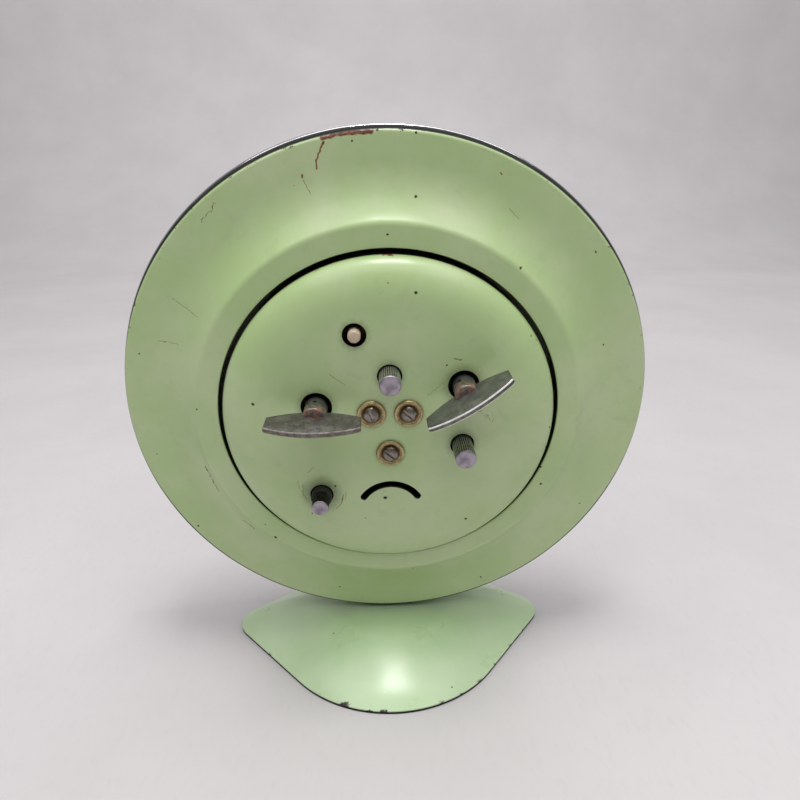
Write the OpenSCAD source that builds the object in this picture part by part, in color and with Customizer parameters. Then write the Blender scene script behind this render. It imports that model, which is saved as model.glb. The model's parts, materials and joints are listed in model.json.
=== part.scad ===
// Wind-up kitchen alarm clock: round dish case on a pressed foot, bell back, two winding keys.
// Millimetres. +Z up, dial faces -Y, back faces +Y. Origin: centre of the foot's footprint.

/* [Case] */
// Radius of the green dish at its rim
rim_r = 74; // [60:0.5:90]
// How far the clock leans back
lean = 5; // [0:0.5:8]
// Height of the rim above the table
rim_gap = 12; // [10:0.5:16]
// Where the bottom of the rim stands, front to back
rim_y = -5.1; // [-8:0.1:0]
// Sheet thickness of the case
sheet = 0.8; // [0.6:0.1:1]
// Height of the raised land above the brim
land_rise = 6.1; // [5:0.1:7]
// Radius of the hole round the bell
case_hole_r = 47.1; // [47:0.1:48]
// Depth of the skirt in front of the brim
skirt_depth = 14.6; // [14.6:0.1:15]

/* [Bezel and dial] */
// Outer radius of the chrome bezel
bezel_r = 75.5; // [75:0.1:77]
// Rise of the domed glass at its centre
glass_dome = 8.5; // [6:0.5:10]
// Thickness of the glass
glass_t = 1.6; // [1:0.1:2]

/* [Bell] */
// Outer radius of the bell cup
bell_r = 45.9; // [44:0.1:46]
// Height of the bell's face above the brim
bell_face = 12.6; // [12:0.1:13]
// Wall of the bell
bell_wall = 0.9; // [0.7:0.1:1]
// How far the bell hangs below the middle of its hole
bell_drop = 0.35; // [0:0.05:0.5]
// Radius of the circle of bell screws
bell_screw_circle = 7; // [6.5:0.1:7.5]

/* [Foot] */
// Width of the foot
foot_w = 105; // [90:1:120]
// Height of the foot's neck
foot_neck_z = 10.6; // [9:0.1:10.8]
// Share of the way from the neck to the foot's edge that is level
foot_flat = 0.48; // [0.2:0.01:0.6]
// How far the foot is turned on its screw, in degrees
foot_turn = 2; // [-5:0.5:5]
// Thickness of the foot's sheet
foot_t = 1.0; // [0.8:0.1:1.5]

/* [Movement] */
// Radius of the movement plates
plate_r = 40; // [39:0.5:41]
// Thickness of each movement plate
plate_t = 1.2; // [1:0.1:1.4]
// Radial running clearance of every shaft in its hole
run = 0.05; // [0.03:0.01:0.08]
// Length of a winding key's wing
key_span = 24; // [20:0.5:26]
// Angle of the time key's wing
time_key_angle = 1; // [-90:1:90]
// Angle of the alarm key's wing
alarm_key_angle = -33; // [-90:1:90]

/* [Hands] */
// Length of the minute hand
minute_len = 56; // [50:1:58]
// Length of the hour hand
hour_len = 42; // [35:1:46]
// Length of the alarm hand
alarm_len = 26; // [20:1:30]

/* [Hidden] */

// Colours
green = [0.56, 0.66, 0.46];
steel = [0.62, 0.62, 0.60];
dark_steel = [0.32, 0.32, 0.31];
brass = [0.72, 0.58, 0.30];
chrome = [0.80, 0.81, 0.82];

// Layers of the clock along its own axis, +Y towards the back
back_plate_y = 5.8;
front_plate_y = -10.2;
dial_y = -skirt_depth;
dial_t = 0.6;
ring_t = 0.7;
glass_y = dial_y - dial_t - ring_t;
great_y = 4.2;
ratchet_y = 2.7;
spring_y = -7;
spring_h = 9;
motion_a_y = -11.4;
motion_b_y = -12.8;
motion_c_y = -14.2;
wheel_t = 1;

// Arbor positions [x, z] seen in the clock's own frame
centre_at = [0, 0];
time_at = [19.4, 7.1];
alarm_at = [-19.4, 12.7];
hand_set_at = [0, 15.6];
alarm_set_at = [-19.7, -5];
selector_at = [19.5, -20.4];
stop_at = [8.8, 26.8];
minute_wheel_at = [8.75, 6.67];
third_at = [10.5, -10.9];
fourth_at = [-1.2, -15.6];
escape_at = [-10.2, -18.4];
pallet_at = [-9.6, -25.2];
balance_at = [0, -26.3];
alarm_escape_at = [-12.5, 28.5];
hammer_at = [-3.5, 31];
pillar_at = [[33, -17], [-20, -31], [20, 31], [-36.5, -4]];
post_circle = 50.2;
post_angles = [60, 180, 300];

// Tooth counts
great_n = 60;
centre_pinion_n = 9;
centre_n = 64;
third_pinion_n = 8;
third_n = 60;
fourth_pinion_n = 8;
fourth_n = 56;
escape_pinion_n = 7;
cannon_n = 12;
minute_n = 32;
minute_pinion_n = 8;
hour_n = 36;
hand_set_n = 18;
alarm_n = 64;
alarm_set_n = 17;
alarm_great_n = 50;
alarm_escape_pinion_n = 7;

// Gear proportions, in modules
addendum = 0.6;
dedendum = 0.9;
tooth_share = 0.4;

function dist(a, b) = norm(a - b);
function dir(a, b) = atan2(b[1] - a[1], b[0] - a[0]);
function gear_module(a, b, na, nb) = 2 * dist(a, b) / (na + nb);
// Angle of one tooth of the follower that meshes with a driver whose tooth is at phase
function mesh(a, b, na, phase, nb) =
    dir(a, b) + 180 - (phase - dir(a, b)) * na / nb + 180 / nb;

great_m = gear_module(time_at, centre_at, great_n, centre_pinion_n);
centre_m = gear_module(centre_at, third_at, centre_n, third_pinion_n);
third_m = gear_module(third_at, fourth_at, third_n, fourth_pinion_n);
fourth_m = gear_module(fourth_at, escape_at, fourth_n, escape_pinion_n);
motion_m = gear_module(centre_at, minute_wheel_at, cannon_n, minute_n);
hour_m = gear_module(centre_at, minute_wheel_at, hour_n, minute_pinion_n);
hand_set_m = gear_module(hand_set_at, minute_wheel_at, hand_set_n, minute_n);
alarm_m = gear_module(centre_at, alarm_set_at, alarm_n, alarm_set_n);
alarm_great_m =
    gear_module(alarm_at, alarm_escape_at, alarm_great_n, alarm_escape_pinion_n);

centre_pinion_phase = mesh(time_at, centre_at, great_n, 0, centre_pinion_n);
third_pinion_phase = mesh(centre_at, third_at, centre_n, 0, third_pinion_n);
fourth_pinion_phase = mesh(third_at, fourth_at, third_n, 0, fourth_pinion_n);
escape_pinion_phase = mesh(fourth_at, escape_at, fourth_n, 0, escape_pinion_n);
minute_phase = mesh(centre_at, minute_wheel_at, cannon_n, 0, minute_n);
hand_set_phase = mesh(minute_wheel_at, hand_set_at, minute_n, minute_phase, hand_set_n);
minute_pinion_phase = mesh(centre_at, minute_wheel_at, hour_n, 0, minute_pinion_n);
alarm_set_phase = mesh(centre_at, alarm_set_at, alarm_n, 0, alarm_set_n);
alarm_escape_phase =
    mesh(alarm_at, alarm_escape_at, alarm_great_n, 0, alarm_escape_pinion_n);

// ---- helpers -------------------------------------------------------------------------------

// Puts the clock's own frame on its foot
module in_clock() {
    centre_y = rim_y + rim_r * sin(lean);
    centre_z = rim_gap + rim_r * cos(lean);
    translate([0, centre_y, centre_z]) rotate([-lean, 0, 0]) children();
}

// Moves to an [x, z] place of the clock
module at(p) {
    translate([p[0], 0, p[1]]) children();
}

// Turned shape about the clock's axis from an [r, y] profile
module turned() {
    rotate([-90, 0, 0]) rotate_extrude($fn = 128) children();
}

// Flat shape drawn in x and z, from y to y + t
module slab(y, t) {
    translate([0, y + t, 0]) rotate([90, 0, 0]) linear_extrude(t) children();
}

// Round rod along the clock's axis, from y0 to y1
module rod(y0, y1, r) {
    facets = r > 20 ? 256 : 48;
    translate([0, y0, 0]) rotate([-90, 0, 0]) cylinder(h = y1 - y0, r = r, $fn = facets);
}

// Round tube along the clock's axis
module tube(y0, y1, r, bore) {
    difference() {
        rod(y0, y1, r);
        rod(y0 - 1, y1 + 1, bore);
    }
}

function polar(r, a) = [r * cos(a), r * sin(a)];

// Outline of a gear with straight-sided teeth
function gear_points(n, m, phase) = [
    for (i = [0 : n - 1]) each let (
        mid = phase + 360 * i / n,
        half = 180 * tooth_share / n,
        root = m * (n / 2 - dedendum),
        tip = m * (n / 2 + addendum))
    [polar(root, mid - half * 1.5), polar(tip, mid - half * 0.6),
     polar(tip, mid + half * 0.6), polar(root, mid + half * 1.5)]
];

// Gear from y to y + t, with an optional bore
module gear(n, m, phase, y, t, bore = 0) {
    difference() {
        slab(y, t) polygon(gear_points(n, m, phase));
        if (bore > 0) rod(y - 1, y + t + 1, bore);
    }
}

// Wheel with four crossings cut out
module spoked_gear(n, m, phase, y, t, hub) {
    inner = m * (n / 2 - dedendum) - 1.4;
    difference() {
        gear(n, m, phase, y, t);
        for (q = [0 : 3])
            rotate([0, 90 * q + 45, 0]) at([(inner + hub) / 2, 0])
                rod(y - 1, y + t + 1, (inner - hub) / 2 - 0.3);
    }
}

// Saw-toothed wheel for a ratchet or an escapement
function saw_points(n, root, tip, way) = [
    for (i = [0 : n - 1]) each
    [polar(tip, way * 360 * i / n), polar(root, way * (360 * i / n + 60 / n))]
];

module saw_wheel(n, root, tip, y, t, way = 1) {
    slab(y, t) polygon(saw_points(n, root, tip, way));
}

// ---- case ------------------------------------------------------------------------------------

flare_angle = 45;
shoulder_r = 2.2;
brim_inner_r = 67;
edge_r = 1;
skirt_r = rim_r - 0.6;
flare_r = (land_rise - shoulder_r * (1 - cos(flare_angle))) / (1 - cos(flare_angle));
shoulder_at = brim_inner_r - (flare_r + shoulder_r) * sin(flare_angle);

// Back face of the case from its hole to the skirt, set in by inset
function case_curve(inset) = concat(
    [[case_hole_r, land_rise - inset]],
    [for (a = [0 : 9 : flare_angle])
        [shoulder_at + (shoulder_r - inset) * sin(a),
         land_rise - shoulder_r + (shoulder_r - inset) * cos(a)]],
    [for (a = [flare_angle - 5 : -5 : 0])
        [brim_inner_r - (flare_r + inset) * sin(a), flare_r - (flare_r + inset) * cos(a)]],
    [for (a = [0 : 15 : 90])
        [rim_r - edge_r + (edge_r - inset) * sin(a), -edge_r + (edge_r - inset) * cos(a)]]);

function reversed(list) = [for (i = [len(list) - 1 : -1 : 0]) list[i]];

module rear_case() {
    lip = 2;
    joggle_y = -2.2;
    color(green) difference() {
        in_clock() turned() polygon(concat(
            case_curve(0),
            [[rim_r, joggle_y + 0.4], [skirt_r, joggle_y], [skirt_r, -skirt_depth],
             [skirt_r - sheet, -skirt_depth], [skirt_r - sheet, joggle_y]],
            reversed(case_curve(sheet)),
            [[case_hole_r + sheet, land_rise - sheet], [case_hole_r + sheet, land_rise - sheet - lip],
             [case_hole_r, land_rise - sheet - lip]]));
        foot_screw_hole(foot_neck_z);
    }
}

module bezel() {
    bore = skirt_r + 0.05;
    rear = -2.7;
    bead_r = 1.5;
    bead_y = -4.4;
    lip_r = 69.6;
    front = glass_y - glass_t - 1.2;
    nose_r = 1;
    color(chrome) difference() {
        in_clock() turned() polygon(concat(
            [[bore, rear], [bore + 0.5, rear]],
            [for (a = [60 : -15 : -60])
                [bezel_r - bead_r + bead_r * cos(a), bead_y + bead_r * sin(a)]],
            [[74.6, -9.5], [74.5, -12], [74.2, -14.5], [73.8, -16.6]],
            [for (a = [0 : 30 : 150])
                [72.4 + nose_r * cos(a), front + nose_r - nose_r * sin(a)]],
            [[lip_r, front + 0.7], [lip_r, glass_y - glass_t - 0.05],
             [bore, glass_y - glass_t - 0.05]]));
        foot_screw_hole(foot_neck_z);
    }
}

// Arc of a shallow dome of the given rise, from the edge to the middle
function dome_arc(edge, rise, y, shift) = let (
    radius = (edge * edge + rise * rise) / (2 * rise),
    steps = 12)
    [for (i = [steps : -1 : 0]) let (r = edge * i / steps)
        [r, y - (sqrt(pow(radius, 2) - r * r) - (radius - rise)) - shift]];

module glass() {
    seat_r = 73;
    dome_edge = 69;
    color([0.85, 0.9, 0.92, 0.4]) in_clock() turned() polygon(concat(
        [[seat_r, glass_y], [seat_r, glass_y - glass_t]],
        dome_arc(dome_edge, glass_dome, glass_y, glass_t),
        reversed(dome_arc(dome_edge, glass_dome, glass_y, 0))));
}

module dial_ring() {
    color(brass) in_clock() turned() polygon([
        [70.4, dial_y - dial_t], [73.2, dial_y - dial_t], [73.2, glass_y], [70, glass_y]]);
}

module dial() {
    color([0.93, 0.91, 0.84]) in_clock() turned()
        polygon([[3.4, dial_y - dial_t], [73.2, dial_y - dial_t], [73.2, dial_y], [3.4, dial_y]]);
}

// ---- foot ------------------------------------------------------------------------------------

// Plan: a broad arc behind, a rounded tip at each side and a shoulder in front of it, all joined
// by straight tangents
foot_tip_r = 8;
foot_tip_at = [foot_w / 2 - foot_tip_r, rim_y - 8.4];
foot_shoulder_r = 10;
foot_shoulder_at = [30, rim_y - 15.7];
foot_back_r = 40;
foot_back_at = [0, rim_y - 6.3];
foot_arc_steps = 8;
foot_neck_at = [0, rim_y - 6.6];
foot_edge_z = 1.2;
foot_roll = 0.8;
foot_roll_run = 2;
foot_dome = 1.3;
foot_screw_r = 1.5;
foot_hole_r = 1.7;

// Direction, seen from circle a, of the point where the tangent on to circle b leaves it
function leave_angle(a, a_r, b, b_r) =
    atan2(b[1] - a[1], b[0] - a[0]) - 90 + asin((a_r - b_r) / norm(b - a));

function foot_arc(centre, r, from, to) = [
    for (i = [0 : foot_arc_steps]) centre + polar(r, from + (to - from) * i / foot_arc_steps)];

// Right half of the plan, from the front to the back
function foot_half(inset) = let (
    front = leave_angle(foot_shoulder_at, foot_shoulder_r, foot_tip_at, foot_tip_r),
    side = leave_angle(foot_tip_at, foot_tip_r, foot_back_at, foot_back_r))
    concat(
        foot_arc(foot_shoulder_at, foot_shoulder_r - inset, -90, front),
        foot_arc(foot_tip_at, foot_tip_r - inset, front, side),
        foot_arc(foot_back_at, foot_back_r - inset, side, 84));

function foot_outline(inset) = concat(
    foot_half(inset),
    [for (p = reversed(foot_half(inset))) [-p[0], p[1]]],
    [for (x = [-24, -16, -8, 0, 8, 16, 24])
        [x, foot_shoulder_at[1] - foot_shoulder_r + inset]]);

// Height of the shell at r from the neck and d from the edge: level near the neck, then a slope
function foot_height(r, d) = let (out = max(r / (r + d) - foot_flat, 0) / (1 - foot_flat))
    foot_edge_z + foot_roll * (1 - exp(-d / foot_roll_run))
    + (foot_neck_z - foot_edge_z - foot_roll) * (1 - pow(out, foot_dome));

// One closed ring of the shell: s runs from 0 at the edge to 1 at the neck
function foot_ring(s, inset) = [
    for (p = foot_outline(inset)) let (
        run_out = norm(p - foot_neck_at),
        q = foot_neck_at + (1 - s) * (p - foot_neck_at))
    [q[0], q[1], foot_height((1 - s) * run_out, s * run_out) - inset]];

function foot_floor(inset) = [for (p = foot_outline(inset)) [p[0], p[1], 0]];

// Round hole for the screw at the neck
function foot_hole(inset) = [
    for (p = foot_outline(inset)) let (
        q = foot_neck_at + foot_hole_r * (p - foot_neck_at) / norm(p - foot_neck_at))
    [q[0], q[1], foot_neck_z - inset]];

foot_steps = [0, 0.03, 0.07, 0.13, 0.2, 0.28, 0.37, 0.46, 0.55, 0.64, 0.73, 0.82, 0.9];

// Floor edge, outer skin, hole, inner skin and back to the floor: one closed band of rings
module foot() {
    outer = concat([foot_floor(0)], [for (s = foot_steps) foot_ring(s, 0)], [foot_hole(0)]);
    inner = concat([foot_hole(foot_t)], [for (s = reversed(foot_steps)) foot_ring(s, foot_t)],
        [foot_floor(foot_t)]);
    rings = concat(outer, inner);
    count = len(rings[0]);
    color(green) translate([0, foot_neck_at[1], 0]) rotate(foot_turn)
        translate([0, -foot_neck_at[1], 0]) polyhedron([for (ring = rings) each ring], [
        for (k = [0 : len(rings) - 1]) for (i = [0 : count - 1]) each let (
            next = (k + 1) % len(rings),
            j = (i + 1) % count,
            a = k * count + i,
            b = k * count + j,
            c = next * count + j,
            d = next * count + i)
        [[a, d, b], [b, d, c]]], convexity = 4);
}

// Saddle between the foot's neck and the bezel's underside, drilled for the foot screw
saddle_w = 14;
saddle_d = 8;
saddle_h = 4;

module foot_screw_hole(z0) {
    translate([0, foot_neck_at[1], z0]) cylinder(h = 20, r = foot_hole_r, $fn = 32);
}

module foot_bracket() {
    color(dark_steel) difference() {
        translate([-saddle_w / 2, foot_neck_at[1] - saddle_d / 2, foot_neck_z])
            cube([saddle_w, saddle_d, saddle_h]);
        in_clock() rod(-30, 10, bezel_r + 0.05);
        foot_screw_hole(0);
    }
}

module foot_screw() {
    head_h = 1.9;
    under_gap = 0.02;
    color(steel) translate([0, foot_neck_at[1], foot_neck_z - foot_t - head_h - under_gap]) {
        cylinder(h = head_h, r = 2.8, $fn = 48);
        cylinder(h = 9.4, r = foot_screw_r, $fn = 48);
    }
}

module foot_nut() {
    nut_z = 14.5;
    color(steel) translate([0, foot_neck_at[1], nut_z]) difference() {
        cylinder(h = 2.2, r = 3, $fn = 6);
        translate([0, 0, -1]) cylinder(h = 5, r = foot_screw_r, $fn = 32);
    }
}

// ---- bell ------------------------------------------------------------------------------------

bell_corner = [12, 6.5];
bell_crown = 0.5;
bell_mouth_y = -2;
washer_r = 3.9;
key_hole_r = 4.15;
knob_hole_r = 3.3;
stop_hole_r = 3.1;
slot_r = 9;
slot_w = 2;
slot_half = 58;

bell_screw_at = [for (a = [45, 135, 270]) polar(bell_screw_circle, a)];

function bell_curve(inset) = let (
    flat_r = bell_r - bell_corner[0],
    low = bell_face - bell_crown - bell_corner[1])
    concat(
        [for (i = [0 : 5]) [flat_r * i / 5, bell_face - bell_crown * pow(i / 5, 2) - inset]],
        [for (a = [7.5 : 7.5 : 90])
            [flat_r + (bell_corner[0] - inset) * sin(a), low + (bell_corner[1] - inset) * cos(a)]],
        [[bell_r - inset, bell_mouth_y]]);

// Curved slot with round ends, centred on the balance
module bell_slot() {
    half_w = slot_w / 2;
    low_end = 90 - slot_half;
    high_end = 90 + slot_half;
    at(balance_at) slab(bell_face - 4, 8) polygon(concat(
        [for (a = [low_end : slot_half / 6 : high_end]) polar(slot_r + half_w, a)],
        [for (a = [30 : 30 : 150]) polar(slot_r, high_end) + polar(half_w, high_end + a)],
        [for (a = [high_end : -slot_half / 6 : low_end]) polar(slot_r - half_w, a)],
        [for (a = [210 : 30 : 330]) polar(slot_r, low_end) + polar(half_w, low_end + a)]));
}

module back_bell() {
    low = bell_face - 4;
    high = bell_face + 2;
    color(green) in_clock() difference() {
        at([0, -bell_drop]) turned()
            polygon(concat(bell_curve(0), reversed(bell_curve(bell_wall))));
        for (p = [time_at, alarm_at]) at(p) rod(low, high, key_hole_r);
        for (p = [hand_set_at, alarm_set_at, selector_at]) at(p) rod(low, high, knob_hole_r);
        at(stop_at) rod(low, high, stop_hole_r);
        for (p = bell_screw_at) at(p) rod(low, high, 1.8);
        bell_slot();
    }
}

bell_post_y = back_plate_y + plate_t;
bell_post_top = bell_face - bell_wall - 0.5;

module bell_post() {
    color(brass) in_clock() difference() {
        rod(bell_post_y, bell_post_top, 9.6);
        for (p = bell_screw_at) at(p) rod(bell_post_y + 1, bell_post_top + 1, 1.45);
    }
}

module bell_washers() {
    color(brass) in_clock() for (p = bell_screw_at) at(p) {
        turned() polygon([
            [1.5, bell_face], [washer_r, bell_face], [washer_r, bell_face + 0.35],
            [washer_r - 0.35, bell_face + 0.75], [washer_r - 0.8, bell_face + 0.75],
            [washer_r - 1.1, bell_face + 0.4], [1.5, bell_face + 0.4]]);
        tube(bell_post_top, bell_post_top + 0.4, 3.2, 1.5);
    }
}

module bell_screws() {
    head_y = bell_face + 0.42;
    slot_angles = [70, 45, 40];
    color(steel) in_clock() for (i = [0 : 2]) at(bell_screw_at[i]) difference() {
        union() {
            turned() polygon([
                [0, head_y], [2.3, head_y], [2.3, head_y + 0.6], [1.9, head_y + 1.05],
                [1.1, head_y + 1.35], [0, head_y + 1.45]]);
            rod(bell_post_y + 1.2, head_y + 0.1, 1.4);
        }
        rotate([0, -slot_angles[i], 0]) translate([-3, head_y + 0.75, -0.35]) cube([6, 2, 0.7]);
    }
}

// ---- plates ----------------------------------------------------------------------------------

key_arbor_r = 2.5;
key_pivot_r = 1.5;
knob_arbor_r = 1.2;
train_arbor_r = 0.7;
centre_arbor_r = 1;
pillar_r = 2;
pillar_end_r = 1.2;
post_r = 2;
post_end_r = 1.4;
back_face_y = back_plate_y + plate_t;
front_back_y = front_plate_y + plate_t;
train_at = [third_at, fourth_at, escape_at, pallet_at, balance_at, alarm_escape_at, hammer_at];

function post_at() = [for (a = post_angles) polar(post_circle, a)];

module plate_bores(y, key_r) {
    y0 = y - 1;
    y1 = y + plate_t + 2;
    for (p = [time_at, alarm_at]) at(p) rod(y0, y1, key_r + run);
    for (p = [hand_set_at, alarm_set_at, selector_at]) at(p) rod(y0, y1, knob_arbor_r + run);
    for (p = train_at) at(p) rod(y0, y1, train_arbor_r + run);
    for (p = pillar_at) at(p) rod(y0, y1, pillar_end_r + 0.05);
    at(centre_at) rod(y0, y1, centre_arbor_r + run);
}

module back_plate() {
    color(brass) in_clock() difference() {
        union() {
            rod(back_plate_y, back_face_y, plate_r);
            at(balance_at) rod(back_face_y - 0.1, back_face_y + 0.9, 1.9);
        }
        plate_bores(back_plate_y, key_arbor_r);
        at(stop_at) rod(back_plate_y - 1, back_face_y + 1, 1 + run);
    }
}

module front_plate() {
    ear_half = 3.5;
    color(brass) in_clock() difference() {
        union() {
            rod(front_plate_y, front_back_y, plate_r);
            for (p = post_at()) {
                at(p) rod(front_plate_y, front_back_y, 4);
                rotate([0, -atan2(p[1], p[0]), 0])
                    translate([plate_r - 3, front_plate_y, -ear_half])
                        cube([post_circle - plate_r + 3, plate_t, 2 * ear_half]);
            }
            at(minute_wheel_at) rod(motion_b_y - 0.2, front_plate_y + 0.1, 0.8);
        }
        plate_bores(front_plate_y, key_pivot_r);
        for (p = post_at()) at(p) rod(front_plate_y - 1, front_back_y + 1, post_end_r + 0.1);
    }
}

module pillars() {
    color(steel) in_clock() for (p = pillar_at) at(p) {
        rod(front_plate_y, front_back_y, pillar_end_r);
        difference() {
            rod(front_back_y, back_plate_y, pillar_r);
            rod(1.7, back_plate_y + 1, pillar_end_r + 0.05);
        }
    }
}

module plate_screws() {
    color(steel) in_clock() for (p = pillar_at) at(p) difference() {
        union() {
            rod(1.9, back_face_y + 0.1, pillar_end_r);
            rod(back_face_y, back_face_y + 1.1, 2.2);
        }
        translate([-3, back_face_y + 0.6, -0.3]) cube([6, 2, 0.6]);
    }
}

module case_posts() {
    color(steel) in_clock() for (p = post_at()) at(p) {
        rod(front_back_y, land_rise - sheet, post_r);
        rod(front_plate_y - 2.6, front_back_y + 0.1, post_end_r);
    }
}

module post_nuts() {
    color(steel) in_clock() for (p = post_at()) at(p) difference() {
        translate([0, front_plate_y, 0]) rotate([90, 0, 0]) cylinder(h = 2.2, r = 2.9, $fn = 6);
        rod(front_plate_y - 5, front_plate_y + 1, post_end_r);
    }
}

// ---- winding ---------------------------------------------------------------------------------

key_t = 1.4;
key_low = bell_face + 3.9;
key_high = bell_face + 15.7;
key_end_half = 3;
hub_r = 3;
hub_top = bell_face + 7;
ratchet_tip = 5.8;
ratchet_root = 4.7;
ratchet_n = 12;
click_at_r = 10;

// Flat lens-shaped wing with cut-off ends, edge on to the clock's back
module key_wing(p, angle) {
    mid = (key_low + key_high) / 2;
    bulge = (key_high - key_low) / 2 - key_end_half;
    span = key_span / 2;
    half = [for (i = [-6 : 6]) [span * i / 6, key_end_half + bulge * (1 - pow(i / 6, 2))]];
    color(steel) in_clock() at(p) rotate([0, -angle, 0]) translate([0, 0, -key_t / 2])
        linear_extrude(key_t) polygon(concat(
            [for (q = half) [q[0], mid + q[1]]],
            [for (q = reversed(half)) [q[0], mid - q[1]]]));
}

module key_arbor(p, angle) {
    slot_w = key_t + 0.04;
    color(dark_steel) in_clock() at(p) difference() {
        union() {
            rod(front_plate_y, front_back_y + 0.1, key_pivot_r);
            rod(front_back_y + 0.1, back_face_y + 0.4, key_arbor_r);
            rod(back_face_y + 0.3, hub_top, hub_r);
        }
        rotate([0, -angle, 0]) translate([-5, key_low - 0.04, -slot_w / 2])
            cube([10, 10, slot_w]);
    }
}

module key_ratchet(p, way) {
    color(steel) in_clock() at(p) difference() {
        saw_wheel(ratchet_n, ratchet_root, ratchet_tip, ratchet_y, wheel_t, way);
        rod(ratchet_y - 1, ratchet_y + 3, key_arbor_r);
    }
}

// Great wheel with the pin that its click swings on
module great_wheel(p, n, m, click_angle) {
    color(brass) in_clock() at(p) {
        difference() {
            spoked_gear(n, m, 0, great_y, wheel_t, click_at_r + 2);
            rod(great_y - 1, great_y + 3, key_arbor_r + run);
        }
        at(polar(click_at_r, click_angle)) rod(ratchet_y - 0.2, great_y + 0.1, 0.7);
    }
}

// Click lever: a boss on its pin and a nose that stops just clear of the ratchet's teeth
module click(p, click_angle, way) {
    nose = polar(ratchet_tip + 0.35, 38 * way);
    boss = [click_at_r, 0];
    side = polar(1, dir(nose, boss) + 90);
    color(steel) in_clock() at(p) rotate([0, -click_angle, 0]) difference() {
        union() {
            at(boss) rod(ratchet_y, ratchet_y + wheel_t, 1.7);
            slab(ratchet_y, wheel_t) polygon([
                boss + 1.3 * side, boss - 1.3 * side, nose - 0.15 * side, nose + 0.35 * side]);
        }
        at(boss) rod(ratchet_y - 1, ratchet_y + 3, 0.7 + run);
    }
}

// Coiled strip spring between two radii
module spiral(p, y, h, r0, r1, turns, strip) {
    steps = 20 * turns;
    color(steel) in_clock() at(p) slab(y, h) polygon(concat(
        [for (i = [0 : steps]) polar(r0 + (r1 - r0) * i / steps, 18 * i)],
        [for (i = [steps : -1 : 0]) polar(r0 + strip + (r1 - r0) * i / steps, 18 * i)]));
}

module time_key() { key_wing(time_at, time_key_angle); }
module time_arbor() { key_arbor(time_at, time_key_angle); }
module time_ratchet() { key_ratchet(time_at, 1); }
module time_mainspring() { spiral(time_at, spring_y, spring_h, 2.9, 13, 7, 0.5); }
module time_great_wheel() { great_wheel(time_at, great_n, great_m, 60); }
module time_click() { click(time_at, 60, 1); }
module alarm_key() { key_wing(alarm_at, alarm_key_angle); }
module alarm_arbor() { key_arbor(alarm_at, alarm_key_angle); }
module alarm_ratchet() { key_ratchet(alarm_at, 1); }
module alarm_mainspring() { spiral(alarm_at, spring_y, spring_h, 2.9, 11.4, 6, 0.5); }
module alarm_great_wheel() { great_wheel(alarm_at, alarm_great_n, alarm_great_m, 120); }
module alarm_click() { click(alarm_at, 120, 1); }

// ---- going train -----------------------------------------------------------------------------

module train_arbor(p) {
    at(p) rod(front_plate_y, back_face_y, train_arbor_r);
}

module centre_wheel() {
    color(brass) in_clock() {
        rod(motion_c_y - 4.2, back_face_y, centre_arbor_r);
        spoked_gear(centre_n, centre_m, 0, -8.4, 0.8, 3);
        gear(centre_pinion_n, great_m, centre_pinion_phase, great_y - 0.4, 1.6);
    }
}

module third_wheel() {
    color(brass) in_clock() {
        train_arbor(third_at);
        at(third_at) {
            spoked_gear(third_n, third_m, 0, 2.4, 0.6, 2);
            gear(third_pinion_n, centre_m, third_pinion_phase, -8.6, 1.2);
        }
    }
}

module fourth_wheel() {
    color(brass) in_clock() {
        train_arbor(fourth_at);
        at(fourth_at) {
            spoked_gear(fourth_n, fourth_m, 0, -3, 0.6, 2);
            gear(fourth_pinion_n, third_m, fourth_pinion_phase, 2.1, 1.2);
        }
    }
}

module escape_wheel() {
    color(brass) in_clock() {
        train_arbor(escape_at);
        at(escape_at) {
            saw_wheel(15, 3.3, 4.2, -1.4, 0.6);
            gear(escape_pinion_n, fourth_m, escape_pinion_phase, -3.3, 1.2);
        }
    }
}

// Lever with two pins that straddle the escape wheel and a fork towards the balance
module pallet_lever() {
    pin_at = [for (side = [-1, 1]) [side * 3.9, 3.4]];
    fork = dir(pallet_at, balance_at);
    color(brass) in_clock() {
        train_arbor(pallet_at);
        at(pallet_at) {
            slab(-0.5, 0.6) polygon([
                [-4.4, 3.9], [-4.4, 2.9], [-0.8, -1], [0.8, -1], [4.4, 2.9], [4.4, 3.9],
                [3.4, 3.9], [0, 1.2], [-3.4, 3.9]]);
            for (q = pin_at) at(q) rod(-1.6, -0.4, 0.35);
            rotate([0, -fork, 0]) difference() {
                translate([0, -0.5, -0.8]) cube([6.9, 0.6, 1.6]);
                translate([5.6, -1, -0.45]) cube([3, 2, 0.9]);
            }
        }
    }
}

module balance_wheel() {
    rim = 7.8;
    color(brass) in_clock() {
        train_arbor(balance_at);
        at(balance_at) {
            tube(0.8, 2, rim, rim - 1.2);
            for (a = [0, 90])
                rotate([0, a + 20, 0]) translate([-rim + 0.6, 1.1, -0.5])
                    cube([2 * rim - 1.2, 0.6, 1]);
            rod(0.4, 1.2, 2.6);
            at([-1.9, 0]) rod(-0.6, 0.5, 0.3);
            rod(3, 4, 1.1);
        }
    }
}

module hairspring() { spiral(balance_at, 3.3, 0.4, 1.3, 4.6, 5, 0.15); }

module regulator() {
    tail = slot_r;
    color(steel) in_clock() at(balance_at) difference() {
        union() {
            rod(back_face_y + 0.1, back_face_y + 0.7, 3.2);
            translate([-0.8, back_face_y + 0.1, 0]) cube([1.6, 0.6, tail + 0.6]);
            translate([-0.8, back_face_y + 0.1, tail - 0.3]) cube([1.6, 3.6, 0.6]);
        }
        rod(back_face_y - 1, back_face_y + 3, 1.9 + run);
    }
}

// ---- alarm train -----------------------------------------------------------------------------

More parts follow.
